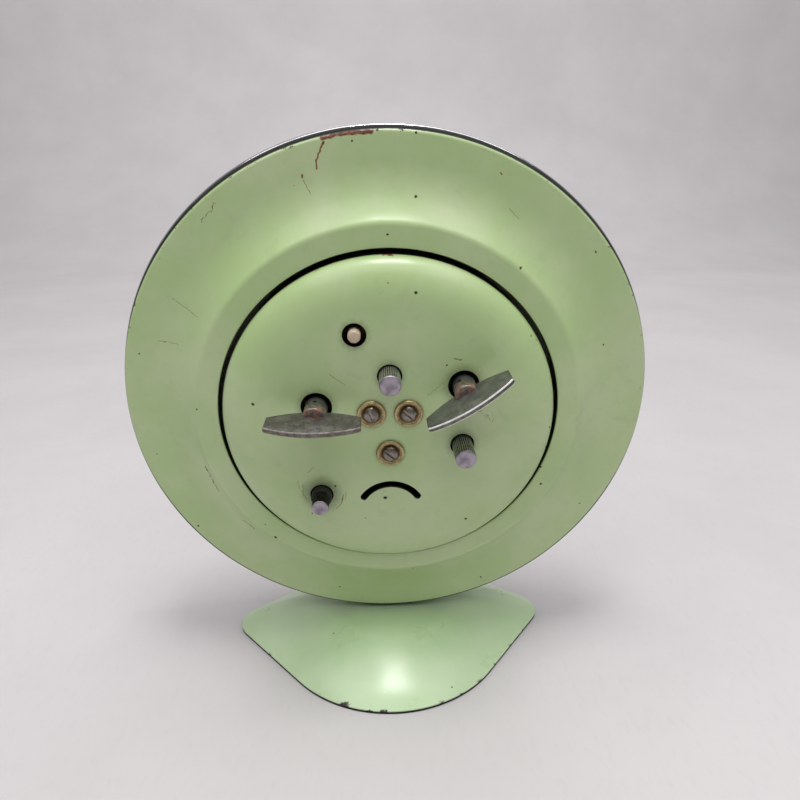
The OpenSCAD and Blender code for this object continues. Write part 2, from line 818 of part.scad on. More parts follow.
module alarm_escape_wheel() {
    color(brass) in_clock() {
        train_arbor(alarm_escape_at);
        at(alarm_escape_at) {
            saw_wheel(12, 3.4, 4.6, -8.4, 0.8);
            gear(alarm_escape_pinion_n, alarm_great_m, alarm_escape_phase, great_y - 0.3, 1.4);
        }
    }
}

module alarm_hammer() {
    head = [12.5, 9];
    reach = norm(head);
    finger = [10, -2.4];
    color(steel) in_clock() {
        train_arbor(hammer_at);
        at(hammer_at) {
            rod(-9, 2, 1.6);
            rotate([0, -dir([0, 0], head), 0]) translate([0, 0.5, -0.8]) cube([reach, 1.2, 1.6]);
            at(head) rod(-1, 3.6, 2);
            rotate([0, -dir([0, 0], finger), 0]) translate([0, -2, -0.7])
                cube([norm(finger), 1.2, 1.4]);
            slab(-8.6, 1.2) polygon([[-3.2, 3], [-3.9, 3.2], [-1.4, -1], [1, -1], [0.6, 1.4]]);
            slab(-8.6, 1.2) polygon([[-3.4, -3.6], [-2.7, -3.6], [1, 0], [-1.2, 1]]);
        }
    }
}

module stop_rod() {
    color(steel) in_clock() at(stop_at) rod(-2, bell_face - 1.6, 1);
}

module stop_cap() {
    color([0.85, 0.80, 0.66]) in_clock() at(stop_at) difference() {
        turned() polygon([
            [0, back_face_y + 3], [1.65, back_face_y + 3], [1.65, bell_face + 0.8],
            [1.35, bell_face + 1.2], [0.7, bell_face + 1.4], [0, bell_face + 1.45]]);
        rod(back_face_y + 2, bell_face - 1.6, 1);
    }
}

// ---- setting knobs ---------------------------------------------------------------------------

// Straight-knurled knob with a plain chamfered end
module knurled(p, low, high, r) {
    ridges = 26;
    color(steel) in_clock() at(p) difference() {
        union() {
            slab(low, high - low - 0.5) polygon([
                for (i = [0 : ridges - 1]) each
                [polar(r, 360 * i / ridges), polar(r - 0.22, 360 * (i + 0.5) / ridges)]]);
            turned() polygon([
                [0, high - 0.5], [r - 0.2, high - 0.5], [r - 0.2, high - 0.35],
                [r - 0.5, high], [0, high]]);
        }
        rod(low - 1, high - 1, knob_arbor_r);
    }
}

module hand_set_knob() { knurled(hand_set_at, bell_face - 1.5, bell_face + 6.5, 2.85); }
module alarm_set_knob() { knurled(alarm_set_at, bell_face - 1.5, bell_face + 8.3, 2.8); }

// The selector's knob has a plain stepped collar below its knurl
module selector_knob() {
    knurled(selector_at, bell_face + 3.2, bell_face + 6.6, 2.35);
    color(steel) in_clock() at(selector_at) {
        tube(bell_face - 0.3, bell_face + 1.8, 2.9, knob_arbor_r);
        tube(bell_face + 1.7, bell_face + 3.3, 1.9, knob_arbor_r);
    }
}

collar_r = 1.7;

module hand_set_arbor() {
    color(steel) in_clock() at(hand_set_at) {
        rod(motion_a_y - 0.2, bell_face + 5.5, knob_arbor_r);
        gear(hand_set_n, hand_set_m, hand_set_phase, motion_a_y, wheel_t);
        rod(front_back_y + 0.1, front_back_y + 0.9, collar_r);
    }
}

module alarm_set_arbor() {
    color(steel) in_clock() at(alarm_set_at) {
        rod(motion_c_y, bell_face + 7.3, knob_arbor_r);
        gear(alarm_set_n, alarm_m, alarm_set_phase, motion_c_y, wheel_t);
        rod(front_back_y + 0.1, front_back_y + 0.9, collar_r);
    }
}

// Arbor with the cam that limits the hammer's lift
module selector_arbor() {
    color(steel) in_clock() at(selector_at) {
        rod(front_plate_y, bell_face + 5.6, knob_arbor_r);
        at([0.8, 0.4]) rod(-2, -0.8, 2.6);
    }
}

// ---- motion work and hands -------------------------------------------------------------------

cannon_r = 1.6;
hour_tube_r = 2.2;
alarm_tube_r = 2.8;
minute_hand_y = -18.1;
hour_hand_y = -17.1;
alarm_hand_y = -16.2;
hand_t = 0.4;
minute_angle = 30;
hour_angle = 145;
alarm_angle = -120;

module cannon_pinion() {
    color(steel) in_clock() difference() {
        union() {
            rod(minute_hand_y - 0.1, motion_a_y + wheel_t, cannon_r);
            gear(cannon_n, motion_m, 0, motion_a_y, wheel_t);
        }
        rod(minute_hand_y - 1, motion_a_y + 3, centre_arbor_r + run);
    }
}

module minute_wheel() {
    bore = 0.8 + run;
    color(brass) in_clock() at(minute_wheel_at) {
        gear(minute_n, motion_m, minute_phase, motion_a_y, wheel_t, bore);
        gear(minute_pinion_n, hour_m, minute_pinion_phase, motion_b_y, motion_a_y - motion_b_y, bore);
    }
}

module hour_wheel() {
    color(brass) in_clock() difference() {
        union() {
            gear(hour_n, hour_m, 0, motion_b_y, wheel_t);
            rod(hour_hand_y - 0.1, motion_b_y + 0.1, hour_tube_r);
        }
        rod(hour_hand_y - 1, motion_b_y + 3, cannon_r + run);
    }
}

module alarm_wheel() {
    color(brass) in_clock() difference() {
        union() {
            spoked_gear(alarm_n, alarm_m, 0, motion_c_y, wheel_t, 4.5);
            rod(alarm_hand_y - 0.1, motion_c_y + 0.1, alarm_tube_r);
        }
        rod(alarm_hand_y - 1, motion_c_y + 3, hour_tube_r + run);
    }
}

// Hand with a round hub, a waisted blade and a pointed tip
module clock_hand(y, hub, bore, len, wide, angle) {
    color([0.08, 0.08, 0.08]) in_clock() difference() {
        union() {
            rod(y, y + hand_t, hub);
            rotate([0, -angle, 0]) slab(y, hand_t) polygon([
                [-len * 0.16, -wide * 0.35], [0, -wide * 0.3], [len * 0.7, -wide / 2],
                [len, -0.15], [len, 0.15], [len * 0.7, wide / 2], [0, wide * 0.3],
                [-len * 0.16, wide * 0.35]]);
        }
        rod(y - 1, y + 1, bore);
    }
}

module minute_hand() { clock_hand(minute_hand_y, 3.4, cannon_r, minute_len, 3.4, minute_angle); }
module hour_hand() { clock_hand(hour_hand_y, 4, hour_tube_r, hour_len, 4.6, hour_angle); }
module alarm_hand() { clock_hand(alarm_hand_y, 4.4, alarm_tube_r, alarm_len, 2, alarm_angle); }

rear_case();
bezel();
glass();
dial_ring();
dial();
foot();
foot_bracket();
foot_screw();
foot_nut();
back_bell();
bell_post();
bell_washers();
bell_screws();
front_plate();
back_plate();
pillars();
plate_screws();
case_posts();
post_nuts();
time_key();
time_arbor();
time_ratchet();
time_mainspring();
time_great_wheel();
time_click();
alarm_key();
alarm_arbor();
alarm_ratchet();
alarm_mainspring();
alarm_great_wheel();
alarm_click();
alarm_escape_wheel();
alarm_hammer();
hand_set_knob();
hand_set_arbor();
alarm_set_knob();
alarm_set_arbor();
selector_knob();
selector_arbor();
stop_cap();
stop_rod();
regulator();
centre_wheel();
third_wheel();
fourth_wheel();
escape_wheel();
pallet_lever();
balance_wheel();
hairspring();
cannon_pinion();
minute_wheel();
hour_wheel();
alarm_wheel();
minute_hand();
hour_hand();
alarm_hand();
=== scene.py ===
import json
import math

import bmesh
import bpy
from mathutils import Matrix, Vector


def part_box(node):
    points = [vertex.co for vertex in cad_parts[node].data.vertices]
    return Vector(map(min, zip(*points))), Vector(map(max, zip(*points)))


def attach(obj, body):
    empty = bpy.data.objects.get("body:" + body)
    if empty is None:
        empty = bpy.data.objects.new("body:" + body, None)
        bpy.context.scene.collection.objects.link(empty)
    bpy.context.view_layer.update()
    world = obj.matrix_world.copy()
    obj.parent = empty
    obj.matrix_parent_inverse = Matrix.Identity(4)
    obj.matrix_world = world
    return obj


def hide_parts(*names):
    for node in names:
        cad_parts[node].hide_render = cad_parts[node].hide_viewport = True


# Wind-up kitchen alarm clock seen from behind. Shapes are drawn in millimetres in the clock's own
# frame: +Y out of the back, +Z up, origin on the hands' axis. CLOCK puts that frame on its foot.

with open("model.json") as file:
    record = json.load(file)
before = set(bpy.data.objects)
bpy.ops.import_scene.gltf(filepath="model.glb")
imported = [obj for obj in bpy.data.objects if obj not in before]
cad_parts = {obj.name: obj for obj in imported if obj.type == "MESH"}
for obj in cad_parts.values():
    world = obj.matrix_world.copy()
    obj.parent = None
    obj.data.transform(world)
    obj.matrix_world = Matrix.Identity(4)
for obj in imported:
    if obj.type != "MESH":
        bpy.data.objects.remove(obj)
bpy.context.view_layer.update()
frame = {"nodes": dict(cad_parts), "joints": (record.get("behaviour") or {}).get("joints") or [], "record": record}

MM = 0.001
record = frame["record"]
joints = {joint["name"]: joint for joint in frame["joints"]}
dial_centre = Vector(joints["minute_hand_turn"]["pos_m"])
dial_axis = Vector(joints["minute_hand_turn"]["axis"])
lean = math.atan2(-dial_axis.z, dial_axis.y)
CLOCK = Matrix.Translation(dial_centre) @ Matrix.Rotation(-lean, 4, "X")


def add_object(name, data):
    item = bpy.data.objects.new(name, data)
    bpy.context.scene.collection.objects.link(item)
    return item


def polar(radius, angle):
    """Flat coordinates at a radius and an angle in degrees."""
    return (radius * math.cos(math.radians(angle)), radius * math.sin(math.radians(angle)))


def clock_place(point):
    """[x, z] of a point of the row frame in the clock's frame, in millimetres."""
    local = CLOCK.inverted() @ Vector(point)
    return (local.x / MM, local.z / MM)


def axis_place(joint_name):
    return clock_place(joints[joint_name]["pos_m"])


# ---- sizes in millimetres ------------------------------------------------------------------------

rim_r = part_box("rear_case")[1].x / MM
bezel_slim = 0.35
bezel_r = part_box("bezel")[1].x / MM - bezel_slim
bell_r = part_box("back_bell")[1].x / MM
land_rise = 6.1
bell_gap = 1.2
case_hole_r = bell_r + bell_gap
brim_inner_r = 67
flare_angle = 45
shoulder_r = 2.2
sheet = 0.8
skirt_r = rim_r - 0.6
skirt_depth = 14.6
bell_face = 12.6
bell_corner = (12, 6.5)
bell_drop = 0.35
bell_crown = 0.5
bell_wall = 0.9
bell_mouth = -2
slot_r = 9
slot_half_width = 1.0
slot_half_angle = 58
key_hole_r = 4.15
knob_hole_r = 3.3
stop_hole_r = 3.1
screw_circle = 7
screw_angles = (45, 135, 270)
screw_slot_angles = (70, 45, 40)
washer_r = 3.9
screw_hole_r = 1.8
back_face_y = 7
front_plate_y = -10.2
plate_t = 1.2
dial_front = -15.2
glass_y = -15.9
glass_t = 1.6
glass_dome = 8.5

time_at = axis_place("time_key_turn")
alarm_at = axis_place("alarm_key_turn")
hand_set_at = axis_place("hand_set_turn")
alarm_set_at = axis_place("alarm_set_turn")
selector_at = axis_place("selector_turn")
stop_low, stop_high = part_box("stop_cap")
stop_at = clock_place((stop_low + stop_high) / 2)
balance_at = axis_place("balance_swing")
screw_at = [polar(screw_circle, angle) for angle in screw_angles]


# ---- node materials ------------------------------------------------------------------------------

class Shader:
    """A node material. Values pass straight from call to call; colours are linear RGB."""

    def __init__(self, name):
        self.material = bpy.data.materials.new(name)
        self.material.use_nodes = True
        self.tree = self.material.node_tree
        self.tree.nodes.clear()
        self.bsdf = self.add("ShaderNodeBsdfPrincipled")
        output = self.add("ShaderNodeOutputMaterial")
        self.tree.links.new(self.bsdf.outputs[0], output.inputs[0])
        coordinates = self.add("ShaderNodeTexCoord").outputs["Object"]
        self.mm = self.vector("SCALE", coordinates, scale=1 / MM)
        axes = self.add("ShaderNodeSeparateXYZ", {0: self.mm}).outputs
        self.x, self.y, self.z = axes[0], axes[1], axes[2]
        flat = self.add("ShaderNodeCombineXYZ", {0: self.x, 1: self.z})
        self.flat = flat.outputs[0]

    def add(self, kind, inputs=None, **settings):
        node = self.tree.nodes.new(kind)
        for key, value in settings.items():
            setattr(node, key, value)
        for key, value in (inputs or {}).items():
            self.put(node.inputs[key], value)
        return node

    def put(self, socket, value):
        if isinstance(value, bpy.types.NodeSocket):
            self.tree.links.new(value, socket)
        elif isinstance(value, tuple) and len(value) == 3 and socket.type == "RGBA":
            socket.default_value = (*value, 1)
        else:
            socket.default_value = value

    def set(self, **inputs):
        for key, value in inputs.items():
            self.put(self.bsdf.inputs[key.replace("_", " ")], value)
        return self

    def vector(self, operation, a, b=None, scale=None):
        node = self.add("ShaderNodeVectorMath", {0: a}, operation=operation)
        if b is not None:
            self.put(node.inputs[1], b)
        if scale is not None:
            self.put(node.inputs["Scale"], scale)
        return node.outputs["Value"] if operation in ("LENGTH", "DOT_PRODUCT") else node.outputs[0]

    def math(self, operation, a, b=0.0, clamp=False):
        node = self.add("ShaderNodeMath", {0: a, 1: b}, operation=operation, use_clamp=clamp)
        return node.outputs[0]

    def times(self, a, b):
        return self.math("MULTIPLY", a, b)

    def plus(self, a, b):
        return self.math("ADD", a, b)

    def minus(self, a, b):
        return self.math("SUBTRACT", a, b)

    def step(self, value, low, high):
        """0 below low and 1 above high, smooth between; a falling step when low is above high."""
        node = self.add("ShaderNodeMapRange", {0: value}, interpolation_type="SMOOTHSTEP")
        ends = (low, high, 0.0, 1.0) if low < high else (high, low, 1.0, 0.0)
        for socket, end in zip(node.inputs[1:5], ends):
            socket.default_value = end
        return node.outputs[0]

    def noise(self, size, detail=3, rough=0.55, vector=None, warp=0.0):
        """Smooth random value around 0.5 whose features are about size millimetres across."""
        node = self.add("ShaderNodeTexNoise", {
            "Vector": vector or self.mm, "Scale": 1 / size, "Detail": detail,
            "Roughness": rough, "Distortion": warp})
        return node.outputs[0]

    def patches(self, low, high, *look, **settings):
        """Mask of the places where noise rises from low to high."""
        return self.step(self.noise(*look, **settings), low, high)

    def ramp(self, mask, start, rise):
        """start where the mask is 0 and start + rise where it is 1."""
        return self.plus(self.times(mask, rise), start)

    def wander(self, reach, *look):
        """Random value between plus and minus half the reach."""
        return self.times(self.minus(self.noise(*look), 0.5), reach)

    def mix(self, factor, a, b):
        node = self.add("ShaderNodeMix", data_type="RGBA")
        self.put(node.inputs[0], factor)
        self.put(node.inputs[6], a)
        self.put(node.inputs[7], b)
        return node.outputs[2]

    def distance(self, place, wobble=0.0):
        """Distance in the back's plane from [x, z], with an optional ragged edge."""
        gap = self.vector("SUBTRACT", self.flat, (place[0], place[1], 0))
        length = self.vector("LENGTH", gap)
        if wobble:
            length = self.plus(length, self.wander(wobble, 0.9, 4))
        return length

    def specks(self, spacing, size, share=0.12, vector=None):
        """Mask of scattered ragged flecks; only a share of the cells holds one."""
        cells = self.add("ShaderNodeTexVoronoi", {
            "Vector": vector or self.flat, "Scale": 1 / spacing, "Randomness": 1.0},
            voronoi_dimensions="2D")
        pick = self.add("ShaderNodeSeparateColor", {0: cells.outputs["Color"]}).outputs
        ragged = self.wander(0.9 * size, 0.5, 2)
        away = self.plus(self.times(cells.outputs["Distance"], spacing), ragged)
        reach = self.times(self.plus(pick[1], 0.3), size * 0.5)
        near = self.math("LESS_THAN", away, reach)
        return self.times(near, self.math("LESS_THAN", pick[0], share))

    def stroke(self, start, end, width, ragged=0.5, size=1.1):
        """Mask of a ragged scratch between two [x, z] places."""
        a, b = Vector((*start, 0)), Vector((*end, 0))
        run = b - a
        bend = self.add("ShaderNodeTexNoise", {
            "Vector": self.flat, "Scale": 1 / size, "Detail": 3.0}).outputs["Color"]
        shift = self.vector("SCALE", self.vector("SUBTRACT", bend, (0.5, 0.5, 0.5)),
                            scale=ragged * 2)
        point = self.vector("SUBTRACT", self.vector("ADD", self.flat, shift), tuple(a))
        point = self.vector("MULTIPLY", point, (1, 1, 0))
        along = self.math("DIVIDE", self.vector("DOT_PRODUCT", point, tuple(run)),
                          run.length_squared, clamp=True)
        off = self.vector("SUBTRACT", point, self.vector("SCALE", tuple(run), scale=along))
        return self.step(self.vector("LENGTH", off), width, width * 0.4)

    def bump(self, height, distance, strength=1.0):
        node = self.add("ShaderNodeBump", {
            "Height": height, "Distance": distance * MM, "Strength": strength})
        self.put(self.bsdf.inputs["Normal"], node.outputs[0])


def largest(shader, masks):
    result = masks[0]
    for mask in masks[1:]:
        result = shader.math("MAXIMUM", result, mask)
    return result


GREEN = (0.437, 0.585, 0.270)
GREEN_PALE = (0.513, 0.625, 0.345)
GREEN_DULL = (0.389, 0.50, 0.257)
RUST = (0.105, 0.032, 0.014)
RUST_LIGHT = (0.26, 0.09, 0.035)
GRIME = (0.022, 0.018, 0.012)
DUST = (0.36, 0.42, 0.27)
SOIL = (0.10, 0.12, 0.055)
DARK_EDGE_LINE = (0.012, 0.015, 0.010)
# Lighter, bluer copies of the green for the foot: painted light for the light and sheen its upward faces catch.
FOOT_GREEN_LIT = (0.520, 0.700, 0.405)
FOOT_GREEN_PALE_LIT = (0.580, 0.735, 0.470)


def enamel(name, strokes=(), stains=(), rim=False, bell=False):
    """Pastel green stove enamel with faint mottling, flyspecks, chips and rust."""
    s = Shader(name)
    mottled = s.noise(26, 4, 0.6)
    fine = s.noise(2.5, 3)
    green = s.mix(s.step(mottled, 0.35, 0.68), GREEN, GREEN_PALE)
    green = s.mix(s.times(s.step(fine, 0.5, 0.8), 0.22), green, GREEN_DULL)
    dusty = s.times(s.patches(0.56, 0.74, 9, 5, 0.7, warp=0.6), 0.3)
    green = s.mix(dusty, green, DUST)
    chips = [s.specks(7.5, 0.6), s.specks(17, 1.0)]
    radius = s.vector("LENGTH", s.flat)
    if rim:
        at_rim = s.step(radius, rim_r - 1.1, rim_r - 0.5)
        patch = s.patches(0.595, 0.64, 2.2, 5, 0.75)
        inner = s.times(s.step(radius, rim_r - 2.6, rim_r - 1.0),
                        s.patches(0.67, 0.70, 1.5, 4, 0.7))
        chips += [s.times(at_rim, patch), inner]
        # A dark line along the rolled edge, widening over the lower half of the dish.
        lower = s.times(s.step(s.z, 5, -40), 0.62)
        edge_darkening = s.step(s.plus(radius, lower), rim_r - 0.3, rim_r - 0.2)
    if bell:
        at_roll = s.times(s.step(radius, bell_r - 1.6, bell_r - 0.5),
                          s.patches(0.66, 0.70, 1.8, 5, 0.7))
        chips.append(at_roll)
    rust = [s.stroke(*stroke) for stroke in strokes]
    soil = [s.times(s.step(s.distance(place, 2.0), reach, reach * 0.45), amount)
            for place, reach, amount in stains]
    colour = green
    if soil:
        colour = s.mix(largest(s, soil), colour, SOIL)
    rusty = s.mix(s.patches(0.4, 0.62, 0.8, 3), RUST, RUST_LIGHT)
    chipped = s.mix(s.patches(0.42, 0.6, 1.6, 3), GRIME, RUST)
    damaged = largest(s, chips)
    colour = s.mix(damaged, colour, chipped)
    if rust:
        scratched = largest(s, rust)
        colour = s.mix(scratched, colour, rusty)
        damaged = s.math("MAXIMUM", damaged, scratched)
    if rim:
        colour = s.mix(edge_darkening, colour, DARK_EDGE_LINE)
    s.set(Base_Color=colour)
    base = s.times(s.patches(0.3, 0.7, 14, 4, 0.6), 0.09)
    gloss = s.plus(s.plus(base, 0.29), s.times(damaged, 0.4))
    s.set(Roughness=gloss, Specular_IOR_Level=0.5, Coat_Weight=0.25, Coat_Roughness=0.12)
    peel = s.times(s.noise(1.3, 2), 0.5)
    dent = s.times(damaged, -1.6)
    s.bump(s.plus(peel, dent), 0.035, 0.5)
    return s.material


def metal(name, bright, dull, rough, spread=0.12, dirt=0.0, size=3.0, brushed=None, rusted=0.0):
    """Metal whose colour and gloss vary, with dirt in patches, grain and a little rust."""
    s = Shader(name)
    vector = s.vector("MULTIPLY", s.mm, brushed) if brushed else s.mm
    worn = s.patches(0.32, 0.68, size, 5, 0.65, vector)
    colour = s.mix(worn, bright, dull)
    grain = s.noise(0.35, 3, 0.6, vector)
    colour = s.mix(s.times(s.step(grain, 0.52, 0.7), 0.35), colour, tuple(c * 0.55 for c in dull))
    gloss = s.ramp(worn, rough, spread)
    metallic = 1.0
    if dirt or rusted:
        soiled = s.times(s.patches(0.54, 0.66, size * 0.7, 6, 0.75), max(dirt, rusted))
        stain = RUST if rusted else GRIME
        colour = s.mix(soiled, colour, stain)
        gloss = s.plus(gloss, s.times(soiled, 0.4))
        metallic = s.minus(1.0, soiled)
    s.set(Base_Color=colour, Roughness=gloss, Metallic=metallic)
    s.bump(grain, 0.02, 0.35)
    return s.material


# ---- mesh tools ----------------------------------------------------------------------------------

def arc(centre, radius, start, end, steps):
    """Points on an arc or, with two radii, on an ellipse; angles in degrees."""
    wide, high = radius if isinstance(radius, tuple) else (radius, radius)
    angles = [math.radians(start + (end - start) * i / steps) for i in range(steps + 1)]
    return [(centre[0] + wide * math.cos(a), centre[1] + high * math.sin(a)) for a in angles]


def lathe(profile, segments=256, loop=True):
    """Turned shape about +Y from [r, y] points; loop joins the last point to the first."""
    bm = bmesh.new()
    rings = []
    for r, y in profile:
        if r < 1e-6:
            rings.append([bm.verts.new((0, y, 0))])
        else:
            turns = [2 * math.pi * i / segments for i in range(segments)]
            rings.append([bm.verts.new((r * math.cos(a), y, r * math.sin(a))) for a in turns])
    pairs = list(zip(rings, rings[1:])) + ([(rings[-1], rings[0])] if loop else [])
    for low, high in pairs:
        for i in range(segments):
            j = (i + 1) % segments
            corners = [low[i % len(low)], low[j % len(low)], high[j % len(high)], high[i % len(high)]]
            unique = list(dict.fromkeys(corners))
            if len(unique) > 2:
                bm.faces.new(unique)
    bmesh.ops.recalc_face_normals(bm, faces=bm.faces)
    return bm


def plate(outline, low, high, bevel=0.0, bevel_steps=2):
    """Prism between two heights over an [x, z] outline, with its long edges bevelled."""
    bm = bmesh.new()
    ends = [[bm.verts.new((x, y, z)) for x, z in outline] for y in (low, high)]
    bm.faces.new(ends[0])
    bm.faces.new(ends[1][::-1])
    count = len(outline)
    for i in range(count):
        j = (i + 1) % count
        bm.faces.new((ends[0][j], ends[0][i], ends[1][i], ends[1][j]))
    bmesh.ops.recalc_face_normals(bm, faces=bm.faces)
    if bevel:
        rims = [e for e in bm.edges if abs(e.verts[0].co.y - e.verts[1].co.y) < 1e-6]
        bmesh.ops.bevel(bm, geom=rims, offset=bevel, segments=bevel_steps, profile=0.5,
                        affect="EDGES", clamp_overlap=True)
    return bm


def turn(bm, angle):
    """Turns a mesh about +Y so that its x axis points at angle in the back's plane."""
    bmesh.ops.transform(bm, matrix=Matrix.Rotation(math.radians(-angle), 4, "Y"), verts=bm.verts)
    return bm


def shift(bm, x=0.0, y=0.0, z=0.0):
    bmesh.ops.translate(bm, vec=(x, y, z), verts=bm.verts)
    return bm


def mesh_of(name, bm):
    """Mesh with the shape of a bmesh, which is used up."""
    mesh = bpy.data.meshes.new(name)
    bm.to_mesh(mesh)
    bm.free()
    return mesh


def join(*parts):
    """One bmesh out of several."""
    whole = bmesh.new()
    for bm in parts:
        mesh = mesh_of("part", bm)
        whole.from_mesh(mesh)
        bpy.data.meshes.remove(mesh)
    return whole


def paint(bm, index, test=None):
    """Gives a material slot to all faces, or to those whose centre and normal pass the test."""
    for face in bm.faces:
        if test is None or test(face.calc_center_median(), face.normal):
            face.material_index = index
    return bm


def cut(bm, tool):
    """bm with tool's volume taken out."""
    body, cutter = (add_object("cut", mesh_of("cut", source)) for source in (bm, tool))
    modifier = body.modifiers.new("cut", "BOOLEAN")
    modifier.object, modifier.operation, modifier.solver = cutter, "DIFFERENCE", "EXACT"
    modifier.material_mode = "INDEX"
    graph = bpy.context.evaluated_depsgraph_get()
    result = bmesh.new()
    result.from_object(body, graph)
    for item in (body, cutter):
        mesh = item.data
        bpy.data.objects.remove(item)
        bpy.data.meshes.remove(mesh)
    bmesh.ops.remove_doubles(result, verts=result.verts, dist=1e-5)
    return result


def piece(name, bm, body, materials, nodes=(), at=(0, 0), sharp=32, world=False):
    """Makes an object of a millimetre mesh at an [x, z] place of the clock, riding on a body.

    A world mesh is already in the row frame: the foot stands level while the clock leans.
    """
    bmesh.ops.scale(bm, vec=(MM, MM, MM), verts=bm.verts)
    mesh = mesh_of(name, bm)
    for material in materials:
        mesh.materials.append(material)
    mesh.shade_smooth()
    mesh.set_sharp_from_angle(angle=math.radians(sharp))
    item = add_object(name, mesh)
    if not world:
        item.matrix_world = CLOCK @ Matrix.Translation((at[0] * MM, 0, at[1] * MM))
    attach(item, body)
    if nodes:
        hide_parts(*nodes)
    return item


def box_mesh(low, high):
    bm = bmesh.new()
    bmesh.ops.create_cube(bm, size=1)
    size = [b - a for a, b in zip(low, high)]
    bmesh.ops.scale(bm, vec=size, verts=bm.verts)
    return shift(bm, *[(a + b) / 2 for a, b in zip(low, high)])


def rod(r, low, high, segments=48):
    return lathe([(0, low), (r, low), (r, high), (0, high)], segments, loop=False)


# ---- camera --------------------------------------------------------------------------------------

# The eye and its direction in the clock's frame, in millimetres, looking at the back from above
camera_data = bpy.data.cameras.new("camera")
camera_data.lens = 27
camera_data.sensor_width = 36
camera_data.clip_start = 0.01
camera = add_object("camera", camera_data)
bpy.context.scene.camera = camera
eye = Vector((2.78, 155.45, 75.77)) * MM
pitch = math.radians(-25.08)
yaw = math.radians(2.18)
roll = math.radians(-0.13)
forward = Vector((-math.sin(yaw) * math.cos(pitch), -math.cos(yaw) * math.cos(pitch),
                  math.sin(pitch)))
right = Vector((-math.cos(yaw), math.sin(yaw), 0))
up = right.cross(forward)
right, up = (right * math.cos(roll) + up * math.sin(roll),
             up * math.cos(roll) - right * math.sin(roll))
facing = Matrix((right, up, -forward)).transposed().to_4x4()
camera.matrix_world = CLOCK @ Matrix.Translation(eye) @ facing


# ---- case, bezel and glass -----------------------------------------------------------------------

# Marks on the dish and the bell: start, end, width and raggedness, all in the clock's frame
case_strokes = [
    ((3.4, 73.2), (10.0, 72.9), 0.75, 0.5), ((10.0, 72.9), (15.3, 71.7), 0.6, 0.6),
    ((14.9, 71.0), (16.2, 68.4), 0.32, 0.45), ((16.2, 68.4), (17.0, 66.3), 0.3, 0.45),
    ((17.0, 66.3), (16.8, 64.9), 0.24, 0.3), ((20.4, 63.6), (20.5, 63.1), 0.3, 0.2),
    ((20.4, 62.6), (18.6, 59.1), 0.09, 0.3), ((56.4, 33.5), (49.9, 29.0), 0.07, 0.3),
    ((62.0, 21.8), (56.3, 21.2), 0.08, 0.6), ((53.6, -15.2), (51.0, -24.5), 0.16, 0.8),
    ((45.2, -35.6), (42.0, -38.4), 0.2, 0.9), ((-30.5, 55.4), (-33.2, 53.0), 0.07, 0.4),
    ((-54.0, 44.6), (-54.3, 44.2), 0.25, 0.2), ((-28.0, 63.9), (-28.3, 63.4), 0.2, 0.2),
    ((46.2, 52.6), (42.2, 56.9), 0.12, 1.2)]
bell_strokes = [
    ((24.6, -17.0), (24.9, -19.6), 0.10, 0.5), ((24.9, -19.6), (23.9, -22.0), 0.12, 0.5),
    ((26.0, -15.4), (25.8, -18.4), 0.07, 0.6), ((13.4, -20.6), (14.0, -23.4), 0.12, 0.5),
    ((14.0, -23.4), (15.6, -25.4), 0.10, 0.4), ((12.6, -19.2), (12.9, -22.0), 0.07, 0.4),
    ((23.2, -13.0), (21.2, -11.4), 0.08, 0.7), ((-16.6, 20.0), (-18.4, 19.8), 0.16, 0.6),
    ((-10.0, 10.0), (-14.0, 13.5), 0.07, 1.2), ((15.6, 16.4), (11.6, 13.4), 0.07, 0.3),
    ((-23.0, 5.6), (-27.4, 2.0), 0.08, 1.6), ((1.4, 45.5), (-1.2, 45.4), 0.16, 0.3)]

lip_depth = 2.9
joggle_y = -2.2
edge_r = 1
flare_r = ((land_rise - shoulder_r * (1 - math.cos(math.radians(flare_angle))))
           / (1 - math.cos(math.radians(flare_angle))))
shoulder_at = brim_inner_r - (flare_r + shoulder_r) * math.sin(math.radians(flare_angle))


def case_skin(inset):
    """Back face of the dish from its hole to its rolled edge, set in by inset."""
    return (arc((shoulder_at, land_rise - shoulder_r), shoulder_r - inset, 90, 90 - flare_angle, 10)
            + arc((brim_inner_r, flare_r), flare_r + inset, 270 - flare_angle, 270, 28)[1:]
            + arc((rim_r - edge_r, -edge_r), edge_r - inset, 90, 0, 8))


def build_case():
    lip_roll = 0.35
    lip = arc((case_hole_r + lip_roll, land_rise - lip_roll), lip_roll, 180, 90, 5)
    bm = lathe(lip + [(case_hole_r + 2, land_rise)] + case_skin(0) + [
        (rim_r, joggle_y + 0.4), (skirt_r, joggle_y), (skirt_r, -skirt_depth),
        (skirt_r - sheet, -skirt_depth), (skirt_r - sheet, joggle_y)]
        + case_skin(sheet)[::-1] + [
        (case_hole_r + sheet, land_rise - sheet), (case_hole_r + sheet, land_rise - lip_depth),
        (case_hole_r, land_rise - lip_depth)], 320)

    # Faces that get the dark steel finish: the dish's inside, the dark outer side of its rolled edge, and painted
    # shade on the lip wall round the bell's gap.
    def hidden(centre, normal):
        radius = math.hypot(centre.x, centre.z)
        outward = (normal.x * centre.x + normal.z * centre.z) / radius
        on_lip = radius < case_hole_r + 0.05 and centre.y < land_rise - 0.8
        over_edge = radius > rim_r - 0.22 and centre.y < -0.5
        return on_lip or over_edge or normal.y < -0.3 or centre.y < joggle_y + 0.5 or (
            outward < -0.5 and centre.y < land_rise - 0.6)
    paint(bm, 1, hidden)
    green = enamel("case_enamel", case_strokes, rim=True)
    return piece("dish_case", bm, "case", [green, dark_steel_and_shade], ["rear_case"])


